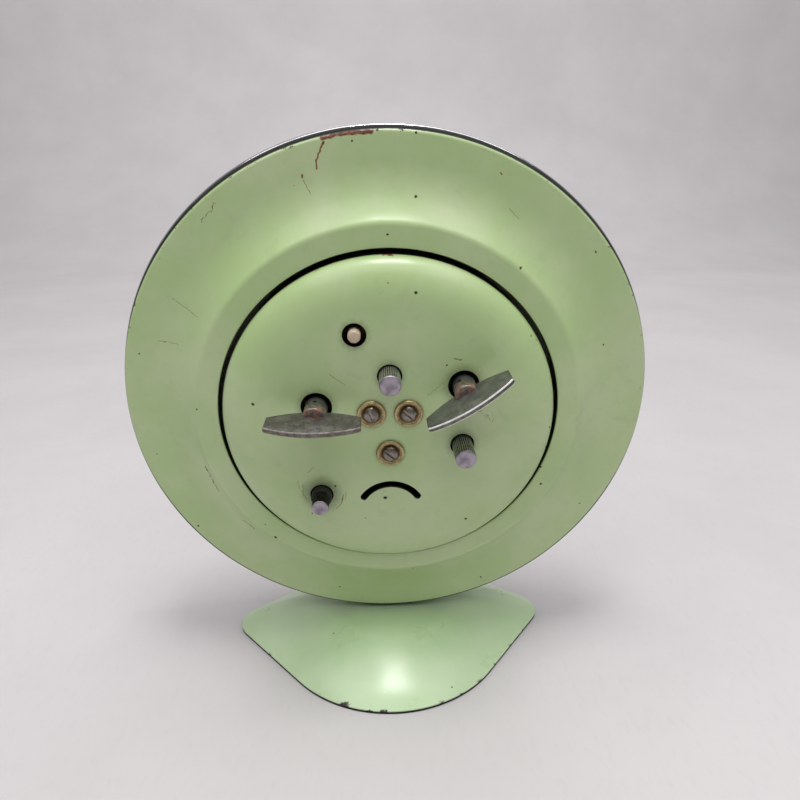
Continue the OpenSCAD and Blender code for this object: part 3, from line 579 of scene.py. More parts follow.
def build_bezel():
    bead_r = 1.5
    bead_y = -4.4
    dark_r = 74.75
    bore = skirt_r + 0.05
    front = glass_y - glass_t - 1.2
    nose_r = 1
    rolled = 0.35
    profile = ([(bore, -2.95), (bore + rolled, -2.95)]
               + arc((bezel_r - bead_r, bead_y), bead_r, 75, -60, 22)
               + [(74.6, -6.6), (74.58, -8.0), (74.55, -9.5), (74.45, -10.9), (74.4, -12.2),
                  (74.2, -13.9), (73.95, -15.5), (73.75, -16.6)]
               + arc((72.4, front + nose_r), nose_r, -10, -160, 12)
               + [(69.6, front + 0.7), (69.6, glass_y - glass_t - 0.05),
                  (bore, glass_y - glass_t - 0.05)])
    bm = lathe(profile, 320)
    # The rear face inside dark_r gets the dark finish as a black ring: partly blackened metal, partly painted
    # shade in the gap behind the dish's edge.
    paint(bm, 1, lambda c, n: math.hypot(c.x, c.z) < dark_r and n.y > 0.3)
    return piece("chrome_bezel", bm, "case", [chrome, dark_steel_and_shade], ["bezel"],
                 sharp=40)


def build_glass():
    edge = 69
    seat = 73
    steps = 28

    def dome(shift_y):
        radius = (edge * edge + glass_dome ** 2) / (2 * glass_dome)
        return [(edge * i / steps, glass_y - shift_y - math.sqrt(
            radius ** 2 - (edge * i / steps) ** 2) + radius - glass_dome)
            for i in range(steps, -1, -1)]
    profile = ([(seat, glass_y), (seat, glass_y - glass_t)] + dome(glass_t)
               + dome(0)[::-1])
    return piece("domed_glass", lathe(profile, 256), "case", [glass], ["glass"])


# ---- bell ----------------------------------------------------------------------------------------

def bell_skin(inset):
    flat_r = bell_r - bell_corner[0]
    low = bell_face - bell_crown - bell_corner[1]
    crown = [(flat_r * i / 12, bell_face - bell_crown * (i / 12) ** 2 - inset) for i in range(13)]
    wide, high = bell_corner
    return (crown + arc((flat_r, low), (wide - inset, high - inset), 90, 0, 28)[1:]
            + [(bell_r - inset, low - 3), (bell_r - inset, bell_mouth + 1),
               (bell_r - inset, bell_mouth)])


def slot_outline():
    """The regulator's curved slot with round ends."""
    low, high = 90 - slot_half_angle, 90 + slot_half_angle
    ends = [polar(slot_r, angle) for angle in (low, high)]
    w = slot_half_width
    shape = (arc((0, 0), slot_r + w, low, high, 24) + arc(ends[1], w, high, high + 180, 8)[1:]
             + arc((0, 0), slot_r - w, high, low, 20)[1:]
             + arc(ends[0], w, low + 180, low + 360, 8)[1:-1])
    return [(x + balance_at[0], z + balance_at[1]) for x, z in shape]


def build_bell():
    bm = shift(lathe(bell_skin(0) + bell_skin(bell_wall)[::-1], 320, loop=False), z=-bell_drop)
    low, high = bell_face - 3, bell_face + 2
    holes = [(p, key_hole_r) for p in (time_at, alarm_at)]
    holes += [(p, knob_hole_r) for p in (hand_set_at, alarm_set_at, selector_at)]
    holes += [(stop_at, stop_hole_r)] + [(p, screw_hole_r) for p in screw_at]
    tools = [shift(rod(r, low, high, 64), x=p[0], z=p[1]) for p, r in holes]
    bm = cut(bm, join(plate(slot_outline(), low, high), *tools))

    # Faces that get the dark steel finish: the bell's inside, and painted shade on its outer wall where it sinks
    # into the gap below the dish's land.
    def hidden(centre, normal):
        radius = math.hypot(centre.x, centre.z + bell_drop)
        return (normal.y < -0.3 or (radius > bell_r - 0.5 and centre.y < 5.4)
                or (radius < bell_r - bell_wall + 0.05 and abs(normal.y) < 0.3))
    bm.normal_update()
    paint(bm, 1, hidden)
    stains = [(time_at, 6.4, 0.55), (alarm_at, 7.0, 0.6), (hand_set_at, 5.2, 0.4),
              (alarm_set_at, 5.4, 0.45), (selector_at, 7.2, 0.6), (stop_at, 4.9, 0.5)]
    stains += [(p, 5.0, 0.55) for p in screw_at]
    green = enamel("bell_enamel", bell_strokes, stains, bell=True)
    return piece("bell_cup", bm, "case", [green, dark_steel_and_shade], ["back_bell"])


def build_washers():
    rings = []
    for x, z in screw_at:
        lip = washer_r - 0.45
        profile = ([(1.5, bell_face), (washer_r - 0.1, bell_face)]
                   + arc((washer_r - 0.2, bell_face + 0.2), 0.2, -60, 0, 3)
                   + [(washer_r, bell_face + 0.35)]
                   + arc((lip, bell_face + 0.4), (0.42, 0.35), 15, 170, 10)
                   + [(lip - 0.75, bell_face + 0.4), (1.5, bell_face + 0.4)])
        inner = lathe([(1.5, bell_face - 1.4), (3.2, bell_face - 1.4), (3.2, bell_face - 1.0),
                       (1.5, bell_face - 1.0)], 48)
        rings.append(shift(join(lathe(profile, 96), inner), x=x, z=z))
    return piece("cup_washers", join(*rings), "case",
                 [washer_brass], ["bell_washers"])


def build_screws():
    head_y = bell_face + 0.42
    heads = []
    for (x, z), angle in zip(screw_at, screw_slot_angles):
        dome = arc((0, head_y + 0.25), (2.3, 1.2), 4, 90, 14)
        bm = lathe([(0, back_face_y + 1.2), (1.4, back_face_y + 1.2), (1.4, head_y),
                    (2.15, head_y), (2.3, head_y + 0.15)] + dome, 72, loop=False)
        bm = cut(bm, turn(box_mesh((-3, head_y + 0.75, -0.36), (3, head_y + 3, 0.36)), angle))
        heads.append(shift(bm, x=x, z=z))
    return piece("dome_screws", join(*heads), "case", [nickel], ["bell_screws"])


# ---- foot ----------------------------------------------------------------------------------------

foot_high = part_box("foot")[1] / MM
foot_neck = Vector((0, -11.7))
foot_neck_z = foot_high.z
foot_tip_r = 8
foot_tip_at = (44.5, foot_neck.y - 1.8)
foot_shoulder_r = 10
foot_shoulder_at = (30, foot_neck.y - 9.1)
foot_back_r = 40
foot_back_at = (0, foot_neck.y + 0.3)
foot_edge_z = 1.2
foot_roll = 0.8
foot_roll_run = 2
foot_flat = 0.48
foot_dome = 1.3
foot_turn = 2
foot_t = 1.0
foot_hole_r = 1.7


def leave_angle(a, a_r, b, b_r):
    """Direction from circle a of the point where the tangent on to circle b leaves it."""
    return (math.degrees(math.atan2(b[1] - a[1], b[0] - a[0])) - 90
            + math.degrees(math.asin((a_r - b_r) / math.dist(a, b))))


def foot_outline(inset):
    """Plan of the shell: a broad back, a round tip and a shoulder each side, a straight front."""
    front = leave_angle(foot_shoulder_at, foot_shoulder_r, foot_tip_at, foot_tip_r)
    side = leave_angle(foot_tip_at, foot_tip_r, foot_back_at, foot_back_r)
    half = (arc(foot_shoulder_at, foot_shoulder_r - inset, -90, front, 12)
            + arc(foot_tip_at, foot_tip_r - inset, front, side, 20)
            + arc(foot_back_at, foot_back_r - inset, side, 88.5, 28))
    edge = foot_shoulder_at[1] - foot_shoulder_r + inset
    front_half = 27
    front_steps = 16
    straight = [(front_half * (2 * i / front_steps - 1), edge) for i in range(front_steps + 1)]
    return half + [(-x, y) for x, y in reversed(half)] + straight


def foot_height(run, edge):
    """Height of the shell at a run from the neck and a distance from the edge."""
    out = max(run / (run + edge) - foot_flat, 0) / (1 - foot_flat)
    return (foot_edge_z + foot_roll * (1 - math.exp(-edge / foot_roll_run))
            + (foot_neck_z - foot_edge_z - foot_roll) * (1 - out ** foot_dome))


def build_foot():
    bm = bmesh.new()
    ring_steps = 34
    steps = [1 - (1 - i / ring_steps) ** 1.5 for i in range(ring_steps - 1)]

    def ring(s, inset):
        points = []
        for p in foot_outline(inset):
            reach = Vector(p) - foot_neck
            q = foot_neck + (1 - s) * reach
            height = foot_height((1 - s) * reach.length, s * reach.length) - inset
            points.append(bm.verts.new((q.x, q.y, height)))
        return points

    def hole(inset):
        spokes = [(Vector(p) - foot_neck).normalized() * foot_hole_r for p in foot_outline(inset)]
        return [bm.verts.new((foot_neck.x + v.x, foot_neck.y + v.y, foot_neck_z - inset))
                for v in spokes]

    def floor_ring(inset, z):
        return [bm.verts.new((x, y, z)) for x, y in foot_outline(inset)]
    rings = [floor_ring(0.12, 0), floor_ring(0, 0.15), floor_ring(0, foot_edge_z - 0.35)]
    rings += [ring(s, 0) for s in steps] + [hole(0), hole(foot_t)]
    rings += [ring(s, foot_t) for s in reversed(steps)]
    rings += [floor_ring(foot_t, 0.15), floor_ring(foot_t - 0.12, 0)]
    count = len(rings[0])
    for low, high in zip(rings, rings[1:] + rings[:1]):
        for i in range(count):
            j = (i + 1) % count
            bm.faces.new((low[i], high[i], high[j], low[j]))
    bmesh.ops.recalc_face_normals(bm, faces=bm.faces)
    bmesh.ops.rotate(bm, cent=(0, foot_neck.y, 0), verts=bm.verts,
                     matrix=Matrix.Rotation(math.radians(foot_turn), 3, "Z"))
    bm.normal_update()
    paint(bm, 1, lambda centre, normal: normal.z < -0.2 or centre.z < 0.65)
    return piece("foot_shell", bm, "case", [foot_enamel_lit, raw_edge], ["foot"],
                 world=True, sharp=50)


# ---- keys, knobs and the stop button -------------------------------------------------------------

key_low = bell_face + 3.9
key_high = bell_face + 15.7
key_half_span = 12
key_end_half = 3
key_t = 1.4
hub_r = 3
hub_top = bell_face + 7
key_angles = {"time": 1, "alarm": -33}


def key_wing_mesh():
    """Lens-shaped wing with cut-off ends and bevelled edges; the outer bevels get a light paint as a painted
    highlight.
    """
    mid = (key_low + key_high) / 2
    bulge = (key_high - key_low) / 2 - key_end_half
    half = [(key_half_span * i / 14, key_end_half + bulge * (1 - (i / 14) ** 2))
            for i in range(-14, 15)]
    nick = 0.35
    upper = [(u, mid + v) for u, v in half]
    lower = [(u, mid - v) for u, v in reversed(half)]
    upper[0] = (upper[0][0] + nick, upper[0][1])
    upper[-1] = (upper[-1][0] - nick, upper[-1][1])
    upper.append((key_half_span, mid + key_end_half - nick))
    lower.append((-key_half_span, mid + key_end_half - nick))
    bm = plate(upper + lower, -key_t / 2, key_t / 2, bevel=0.32)
    bmesh.ops.transform(bm, matrix=Matrix.Rotation(math.radians(90), 4, "X"), verts=bm.verts)
    for v in bm.verts:
        if v.co.y < 0:
            v.co.y, v.co.z = -v.co.y, -v.co.z
    bmesh.ops.recalc_face_normals(bm, faces=bm.faces)
    bm.normal_update()
    paint(bm, 1, lambda centre, normal: abs(normal.z) < 0.93)
    # Painted highlight: the outer bevels get a light, non-metal paint in place of a reflection.
    return paint(bm, 2, lambda centre, normal: 0.3 < abs(normal.z) < 0.93 and centre.y > mid)


def key_hub_mesh():
    """Stepped arbor with a slotted, slightly domed hub and a cross hole."""
    round_off = 0.5
    front = front_plate_y
    profile = [(0, front), (1.3, front), (1.5, front + 0.2), (1.5, front + plate_t + 0.1),
               (2.5, front + plate_t + 0.1), (2.5, back_face_y + 0.35), (hub_r - 0.1, back_face_y + 0.35),
               (hub_r, back_face_y + 0.5), (hub_r, hub_top - 1.3)]
    profile += arc((hub_r - round_off, hub_top - round_off - 0.2), round_off, 0, 70, 6)
    profile += [(1.4, hub_top - 0.04), (0, hub_top)]
    bm = lathe(profile, 96, loop=False)
    slot_t = key_t / 2 + 0.02
    slot = box_mesh((-5, key_low - 0.04, -slot_t), (5, hub_top + 3, slot_t))
    pin = rod(0.55, -5, 5, 20)
    bmesh.ops.transform(pin, matrix=Matrix.Translation((0, bell_face + 2.6, 0))
                        @ Matrix.Rotation(math.radians(90), 4, "X"), verts=pin.verts)
    return cut(cut(bm, slot), pin)


def build_key(name, at, body):
    wing, hub = key_wing_mesh(), key_hub_mesh()
    turn(wing, key_angles[name])
    turn(hub, key_angles[name])
    piece(f"{name}_key_wing", wing, body,
          [key_faces[name], key_edges[name], key_highlight_lines[name]],
          [f"{name}_key"], at=at, sharp=24)
    piece(f"{name}_key_hub", hub, body, [hub_steels[name]],
          [f"{name}_arbor"], at=at)


def knob_mesh(low, high, radius, ridges, bore=1.2):
    """Straight-knurled knob with a bevelled, slightly crowned end."""
    groove = 0.24
    shape = []
    for i in range(ridges):
        for part, depth in ((-0.26, 0.06), (0, 0), (0.26, 0.06), (0.5, groove)):
            a = 2 * math.pi * (i + part) / ridges
            shape.append(((radius - depth) * math.cos(a), (radius - depth) * math.sin(a)))
    grip = plate(shape, low, high - 0.55)
    crown = ([(0, high - 0.6), (radius - 0.05, high - 0.6)]
             + arc((radius - 0.55, high - 0.5), (0.5, 0.42), 8, 84, 7)
             + [(radius * 0.45, high - 0.03), (0, high)])
    face = lathe(crown, 96, loop=False)
    return paint(join(grip, face), 1, lambda centre, normal: centre.y > high - 0.5)


def build_knob(name, at, body, low, high, radius, ridges, collars=()):
    parts = [knob_mesh(low, high, radius, ridges)]
    for y0, y1, r in collars:
        chamfer = 0.15
        ring = lathe([(1.2, y0), (r, y0), (r, y1 - chamfer), (r - chamfer, y1), (1.2, y1)], 72)
        # The collars get the dark finish: painted shade where the knob goes down into the bell's hole.
        parts.append(paint(ring, 2))
    return piece(f"{name}_knob_turned", join(*parts), body,
                 [knurl_steel, knob_face, dark_steel_and_shade],
                 [f"{name}_knob"], at=at)


def build_stop():
    low, high = back_face_y + 3, bell_face + 1.45
    profile = ([(0, low), (1.65, low), (1.65, high - 0.7)]
               + arc((1.05, high - 0.62), (0.6, 0.55), 5, 85, 8) + [(0.6, high - 0.02), (0, high)])
    return piece("stop_button_cap", lathe(profile, 64, loop=False), "stop_button",
                 [cream], ["stop_cap"], at=stop_at)


# ---- dial and hands ------------------------------------------------------------------------------

def build_dial():
    well_r = 26
    step = 0.12
    profile = [(3.4, dial_front + step), (well_r - 0.5, dial_front + step), (well_r, dial_front),
               (73, dial_front), (73.2, dial_front + 0.15), (73.2, dial_front + 0.6),
               (3.4, dial_front + 0.6)]
    piece("dial_disc", lathe(profile, 256), "case", [dial_cream], ["dial"])
    print_t = 0.04
    marks = []
    for minute in range(60):
        hour = minute % 5 == 0
        length, width = (4.6, 1.5) if hour else (2.2, 0.35)
        tick = plate([(66.5 - length, -width / 2), (66.5, -width / 2 * (1.15 if hour else 1)),
                      (66.5, width / 2 * (1.15 if hour else 1)), (66.5 - length, width / 2)],
                     dial_front - print_t, dial_front + 0.01)
        marks.append(turn(tick, 6 * minute))
        if hour:
            small = plate([(22, -0.2), (25, -0.2), (25, 0.2), (22, 0.2)],
                          dial_front + step - print_t, dial_front + step + 0.01)
            marks.append(turn(small, 6 * minute))
    for r, w in ((67.2, 0.3), (well_r + 0.6, 0.25)):
        marks.append(lathe([(r, dial_front - print_t), (r + w, dial_front - print_t),
                            (r + w, dial_front + 0.01), (r, dial_front + 0.01)], 256))
    for hour in range(1, 13):
        label = bpy.data.curves.new("numeral", "FONT")
        label.body = str(hour)
        label.size = 11.5
        label.extrude = print_t / 2
        label.offset = 0.22
        label.align_x, label.align_y = "CENTER", "CENTER"
        holder = add_object("numeral", label)
        bpy.context.view_layer.update()
        letters = bpy.data.meshes.new_from_object(
            holder.evaluated_get(bpy.context.evaluated_depsgraph_get()))
        digits = bmesh.new()
        digits.from_mesh(letters)
        bpy.data.meshes.remove(letters)
        bpy.data.objects.remove(holder)
        bpy.data.curves.remove(label)
        xs = [v.co.x for v in digits.verts]
        ys = [v.co.y for v in digits.verts]
        middle = Vector(((min(xs) + max(xs)) / 2, (min(ys) + max(ys)) / 2, 0))
        angle = math.radians(90 - 30 * hour)
        ring = 53.5
        for v in digits.verts:
            flat = v.co - middle
            v.co = (flat.x + ring * math.cos(angle), dial_front - print_t / 2 - flat.z,
                    flat.y + ring * math.sin(angle))
        marks.append(digits)
    piece("dial_numerals", join(*marks), "case", [print_black], sharp=20)


def hand_mesh(y, hub, bore, length, wide, angle, inlay):
    """Faceted hand with a raised spine, a round hub and a coloured inlay."""
    t = 0.4
    tail = 0.16
    spine = 0.16
    half = [(-length * tail, wide * 0.35), (0, wide * 0.3), (length * 0.7, wide / 2),
            (length, 0.15)]
    bm = bmesh.new()
    back = [bm.verts.new((x, y + t, s * w)) for s, pts in ((1, half), (-1, half[::-1]))
            for x, w in pts]
    edge = [bm.verts.new((x, y + spine, s * w)) for s, pts in ((1, half), (-1, half[::-1]))
            for x, w in pts]
    ridge = [bm.verts.new((x, y, 0)) for x, _ in half]
    bm.faces.new(back)
    count = len(back)
    for i in range(count):
        j = (i + 1) % count
        bm.faces.new((back[i], back[j], edge[j], edge[i]))
    steps = len(half)
    for i in range(steps - 1):
        bm.faces.new((edge[i], edge[i + 1], ridge[i + 1], ridge[i]))
        k = count - 1 - i
        bm.faces.new((edge[k - 1], edge[k], ridge[i], ridge[i + 1]))
    bm.faces.new((edge[count - 1], edge[0], ridge[0]))
    bm.faces.new((edge[steps - 1], edge[steps], ridge[steps - 1]))
    bmesh.ops.recalc_face_normals(bm, faces=bm.faces)
    chamfer = 0.12
    boss = lathe([(bore, y), (hub - chamfer, y), (hub, y + chamfer), (hub, y + t), (bore, y + t)], 96)
    parts = [bm, boss]
    if inlay:
        strip = plate([(length * 0.35, -wide * 0.2), (length * 0.72, -wide * 0.26),
                       (length * 0.9, 0), (length * 0.72, wide * 0.26), (length * 0.35, wide * 0.2)],
                      y - 0.02, y + 0.1)
        parts.append(paint(strip, 1))
    return turn(join(*parts), angle)


def build_hands():
    piece("minute_pointer", hand_mesh(-18.1, 3.4, 1.6, 56, 3.4, 30, True), "minute",
          [hand_black, lume], ["minute_hand"], sharp=15)
    piece("hour_pointer", hand_mesh(-17.1, 4, 2.2, 42, 4.6, 145, True), "hour",
          [hand_black, lume], ["hour_hand"], sharp=15)
    piece("alarm_pointer", hand_mesh(-16.2, 4.4, 2.8, 26, 2, -120, False), "alarm_indicator",
          [alarm_red], ["alarm_hand"], sharp=15)


# ---- the finishes --------------------------------------------------------------------------------

def raw_steel():
    """Bare or dirty sheet inside the case and along the dish's rolled edge; the same dark finish is painted shade
    on the walls of the gap round the bell, on the bezel's rear face and on the knobs' collars.
    """
    s = Shader("inner_steel_and_painted_shade")
    patch = s.patches(0.35, 0.7, 4, 5, 0.7)
    s.set(Base_Color=s.mix(patch, (0.012, 0.014, 0.010), (0.035, 0.036, 0.030)),
          Roughness=s.ramp(patch, 0.55, 0.2), Metallic=0.2)
    s.bump(s.noise(0.8, 4), 0.03, 0.5)
    return s.material


def foot_paint():
    """The foot's enamel, a lighter copy of the dish's green as painted light, with chips along its lower edge and
    small scuffs.
    """
    s = Shader("foot_enamel_lit")
    mottled = s.noise(24, 4, 0.6)
    green = s.mix(s.step(mottled, 0.35, 0.68), FOOT_GREEN_LIT, FOOT_GREEN_PALE_LIT)
    fine = s.times(s.patches(0.5, 0.8, 2.5, 3), 0.04)
    green = s.mix(fine, green, GREEN_DULL)
    edge = s.step(s.z, 1.75, 0.9)
    chipped = s.times(edge, s.patches(0.58, 0.62, 3.2, 5, 0.72))
    marks = [chipped]
    for x, y, size in ((14.6, foot_high.y - 3.0, 1.7), (3.2, foot_high.y - 0.1, 1.2),
                       (7.0, foot_high.y - 0.7, 0.9)):
        away = s.vector("SUBTRACT", s.mm, (x, y, 0.5))
        gap = s.vector("LENGTH", s.vector("MULTIPLY", away, (0.7, 1.6, 1.0)))
        ragged = s.wander(1.8, 0.6, 5)
        marks.append(s.step(s.plus(gap, ragged), size, size * 0.7))
    top_view = s.add("ShaderNodeCombineXYZ", {0: s.x, 1: s.y}).outputs[0]
    marks.append(s.specks(9, 0.55, vector=top_view))
    damaged = largest(s, marks)
    scuff = s.times(s.step(s.noise(1.1, 5, 0.8, s.vector("MULTIPLY", s.mm, (1, 0.35, 1))),
                           0.70, 0.78), 0.25)
    colour = s.mix(scuff, green, (0.20, 0.25, 0.14))
    s.set(Base_Color=s.mix(damaged, colour, (0.03, 0.024, 0.018)),
          Roughness=s.plus(s.times(damaged, 0.4),
                           s.plus(s.times(s.patches(0.3, 0.7, 12, 4), 0.05),
                                  0.27)),
          Specular_IOR_Level=0.5, Coat_Weight=0.3, Coat_Roughness=0.22)
    s.bump(s.plus(s.times(s.noise(1.3, 2), 0.3), s.times(damaged, -1.6)), 0.03, 0.3)
    return s.material


def key_face(name, colour, spots):
    """Dark, pitted steel of a winding key, with brown spots."""
    s = Shader(name)
    worn = s.patches(0.35, 0.7, 2.6, 5, 0.7)
    base = s.mix(worn, colour, tuple(c * 1.7 for c in colour))
    pits = s.patches(0.60, 0.68, 0.55, 3, 0.6)
    brown = s.times(s.patches(0.52, 0.62, 1.7, 6, 0.8), spots)
    base = s.mix(brown, base, (0.06, 0.035, 0.022))
    base = s.mix(s.times(pits, spots), base, (0.012, 0.010, 0.008))
    s.set(Base_Color=base, Metallic=s.minus(0.65, s.times(brown, 0.5)),
          Roughness=s.ramp(worn, 0.34, 0.14))
    s.bump(s.minus(s.noise(0.8, 4), s.times(pits, 0.8)), 0.04, 0.6)
    return s.material


def hub_steel(name, side):
    """Hub of a key: grey steel, rust-stained towards its end and on one side, with painted shade darkening it
    where it sinks into the bell's hole.
    """
    s = Shader(name)
    worn = s.patches(0.35, 0.7, 2.2, 5, 0.65)
    base = s.mix(worn, (0.16, 0.165, 0.15), (0.30, 0.30, 0.28))
    towards = s.plus(s.times(s.x, side), s.times(s.z, -0.5))
    stained = s.times(s.step(towards, 0.2, 2.6), s.patches(0.36, 0.58, 1.4, 5, 0.7))
    low = s.times(s.step(s.y, bell_face + 3.0, bell_face + 5.4), s.patches(0.38, 0.56, 1.1, 4, 0.7))
    rusty = s.math("MAXIMUM", stained, s.times(low, 0.85))
    base = s.mix(s.times(rusty, 0.85), base,
                 s.mix(s.patches(0.4, 0.6, 0.7, 3), (0.13, 0.042, 0.018), (0.34, 0.13, 0.05)))
    # Painted shade: the hub turns almost black below the bell's face, down in its hole.
    base = s.mix(s.times(s.step(s.y, bell_face + 0.9, bell_face - 0.4), 0.8), base,
                 (0.02, 0.018, 0.014))
    s.set(Base_Color=base, Metallic=s.minus(0.9, s.times(rusty, 0.75)),
          Roughness=s.ramp(rusty, 0.38, 0.25))
    s.bump(s.noise(0.6, 4), 0.03, 0.5)
    return s.material


def knurled_steel():
    """Knurl with bright ridges and dirty, yellowish grooves."""
    s = Shader("knurl_steel")
    radius = s.vector("LENGTH", s.flat)
    deep = s.step(s.math("FRACT", radius), 0.62, 0.80)
    worn = s.patches(0.35, 0.7, 1.6, 4, 0.65)
    bright = s.mix(worn, (0.52, 0.52, 0.47), (0.30, 0.30, 0.25))
    s.set(Base_Color=s.mix(deep, (0.030, 0.028, 0.014), bright),
          Metallic=0.85, Roughness=s.ramp(worn, 0.32, 0.15))
    s.bump(s.noise(0.5, 3), 0.02, 0.4)
    return s.material


def polished_face():
    """Turned, polished end of a knob: fine rings, a dull patch and small dents."""
    s = Shader("knob_face")
    radius = s.vector("LENGTH", s.flat)
    rings = s.math("SINE", s.times(radius, 42.0))
    dull = s.patches(0.40, 0.70, 2.6, 3, 0.55)
    colour = s.mix(dull, (0.42, 0.37, 0.43), (0.24, 0.21, 0.25))
    pits = s.patches(0.74, 0.79, 0.45, 3)
    middle = s.step(radius, 1.5, 0.2)
    colour = s.mix(s.times(middle, 0.45), colour, (0.15, 0.13, 0.16))
    s.set(Base_Color=s.mix(pits, colour, (0.12, 0.10, 0.12)), Metallic=0.7,
          Roughness=s.ramp(dull, 0.33, 0.08))
    s.bump(s.minus(s.times(rings, 0.2), pits), 0.012, 0.5)
    return s.material


def by_radius(name, places, stops, metallic, rough, size=0.7):
    """Finish that changes with the distance from the nearest of some axes: (radius, colour) stops."""
    s = Shader(name)
    gaps = [s.distance(p) for p in places]
    nearest = gaps[0]
    for gap in gaps[1:]:
        nearest = s.math("MINIMUM", nearest, gap)
    ragged = s.wander(0.9, size, 4, 0.7)
    nearest = s.plus(nearest, ragged)
    colour = stops[0][1]
    for (r0, _), (r1, shade) in zip(stops, stops[1:]):
        colour = s.mix(s.step(nearest, r0, r1), colour, shade)
    mottled = s.patches(0.42, 0.66, size * 1.4, 5, 0.7)
    colour = s.mix(s.times(mottled, 0.45), colour, (0.07, 0.05, 0.03))
    s.set(Base_Color=colour, Metallic=metallic, Roughness=s.ramp(mottled, rough, 0.22))
    s.bump(s.noise(0.5, 4), 0.02, 0.4)
    return s.material


def painted(name, light, dark, rough, size=5.0, coat=0.0):
    """Plain paint or plastic with slight mottling and specks of dirt."""
    s = Shader(name)
    mottled = s.patches(0.35, 0.68, size, 4, 0.6)
    colour = s.mix(mottled, light, dark)
    specks = s.times(s.patches(0.70, 0.75, 0.5, 3, 0.6), 0.6)
    s.set(Base_Color=s.mix(specks, colour, tuple(c * 0.35 for c in dark)),
          Roughness=s.ramp(mottled, rough, 0.1), Coat_Weight=coat)
    s.bump(s.noise(0.9, 3), 0.012, 0.4)
    return s.material


def clear_pane():
    s = Shader("clear_pane")
    smear = s.patches(0.45, 0.75, 16, 5, 0.7, warp=0.8)
    s.set(Base_Color=(0.97, 0.985, 0.98), Transmission_Weight=1.0, IOR=1.5,
          Roughness=s.times(smear, 0.035))
    s.bump(s.noise(30, 2), 0.02, 0.1)
    return s.material


def floor_sheet():
    """Pale paper with a faint pressed weave."""
    s = Shader("pale_floor")
    cloud = s.patches(0.3, 0.7, 120, 4, 0.6)
    fibre = s.noise(2.2, 4, 0.65, s.vector("MULTIPLY", s.mm, (1, 0.4, 1)))
    colour = s.mix(cloud, (0.610, 0.585, 0.592), (0.650, 0.625, 0.632))
    colour = s.mix(s.times(s.step(fibre, 0.5, 0.72), 0.2), colour, (0.54, 0.515, 0.52))
    s.set(Base_Color=colour, Roughness=0.85, Specular_IOR_Level=0.2)
    s.bump(fibre, 0.12, 0.35)
    return s.material


dark_steel_and_shade = raw_steel()
raw_edge = metal("raw_edge", (0.05, 0.05, 0.05), (0.02, 0.02, 0.018), 0.5, dirt=0.5, size=1.5)
chrome = metal("bezel_chrome", (0.78, 0.78, 0.79), (0.62, 0.62, 0.63), 0.09, 0.1, dirt=0.35, size=6)
glass = clear_pane()
foot_enamel_lit = foot_paint()
washer_brass = by_radius("washer_brass", screw_at, [
    (0, (0.10, 0.065, 0.03)), (2.5, (0.14, 0.085, 0.035)), (3.2, (0.60, 0.50, 0.26)),
    (3.75, (0.44, 0.33, 0.14)), (4.1, (0.16, 0.11, 0.04))], 0.7, 0.3)
nickel = by_radius("screw_nickel", screw_at, [
    (0, (0.36, 0.33, 0.31)), (1.5, (0.27, 0.24, 0.21)), (2.15, (0.12, 0.085, 0.055))], 0.85, 0.24)
key_faces = {"time": key_face("time_key_steel", (0.120, 0.113, 0.105), 1.0),
             "alarm": key_face("alarm_key_steel", (0.125, 0.130, 0.115), 0.35)}
hub_steels = {"time": hub_steel("time_hub_steel", -0.3), "alarm": hub_steel("alarm_hub_steel", -1.0)}
key_edges = {
    "time": metal("time_key_edge", (0.24, 0.22, 0.19), (0.13, 0.115, 0.10), 0.42, dirt=0.6, size=1.6),
    "alarm": metal("alarm_key_edge", (0.22, 0.22, 0.19), (0.14, 0.135, 0.12), 0.4, dirt=0.4,
                   size=1.6)}
# Light paint on the keys' bevels: painted highlights.
key_highlight_lines = {
    "time": painted("time_key_painted_highlight", (0.30, 0.27, 0.25), (0.13, 0.11, 0.10), 0.4, 1.4),
    "alarm": painted("alarm_key_painted_highlight", (0.82, 0.80, 0.78), (0.62, 0.60, 0.58), 0.3, 2.5)}
knurl_steel = knurled_steel()
knob_face = polished_face()
cream = painted("cream_cap", (0.62, 0.50, 0.37), (0.50, 0.38, 0.26), 0.38, 1.6)
dial_cream = painted("dial_cream", (0.80, 0.77, 0.66), (0.74, 0.70, 0.58), 0.5, 22)
print_black = painted("print_black", (0.018, 0.02, 0.018), (0.03, 0.033, 0.028), 0.45)
hand_black = painted("hand_black", (0.015, 0.015, 0.015), (0.03, 0.03, 0.028), 0.25, coat=0.4)
alarm_red = painted("alarm_red", (0.42, 0.045, 0.03), (0.33, 0.03, 0.02), 0.3, coat=0.4)
lume = painted("lume_inlay", (0.62, 0.66, 0.42), (0.52, 0.55, 0.33), 0.7, 1.5)
brass_grain = (1, 0.25, 1)
slot_finishes = {
    "green_enamel": foot_enamel_lit,
    "chrome_trim": chrome,
    "clear_glass": glass,
    "dial_paint": dial_cream,
    "brass": metal("clock_brass", (0.62, 0.43, 0.17), (0.45, 0.29, 0.10), 0.26, 0.16, dirt=0.25,
                   size=7, brushed=brass_grain),
    "brass_washer": washer_brass,
    "steel": metal("clock_steel", (0.50, 0.50, 0.49), (0.34, 0.34, 0.33), 0.28, 0.16, dirt=0.3,
                   size=4, brushed=brass_grain),
    "screw_steel": nickel,
    "spring_steel": metal("spring_blue", (0.09, 0.11, 0.16), (0.15, 0.14, 0.15), 0.3, 0.12, size=5),
    "key_steel": key_faces["time"],
    "hub_steel": hub_steels["time"],
    "knob_steel": knurl_steel,
    "cream_plastic": cream,
    "black_paint": hand_black,
    "alarm_paint": alarm_red,
}

# Brass darkened almost to black: painted shade on the parts seen through the back's holes, with some tarnish.
shaded_brass = metal("shaded_brass", (0.075, 0.058, 0.028), (0.035, 0.026, 0.014), 0.5, dirt=0.5, size=5)
seen_through_holes = ("back_plate", "plate_screws", "regulator", "pillars")

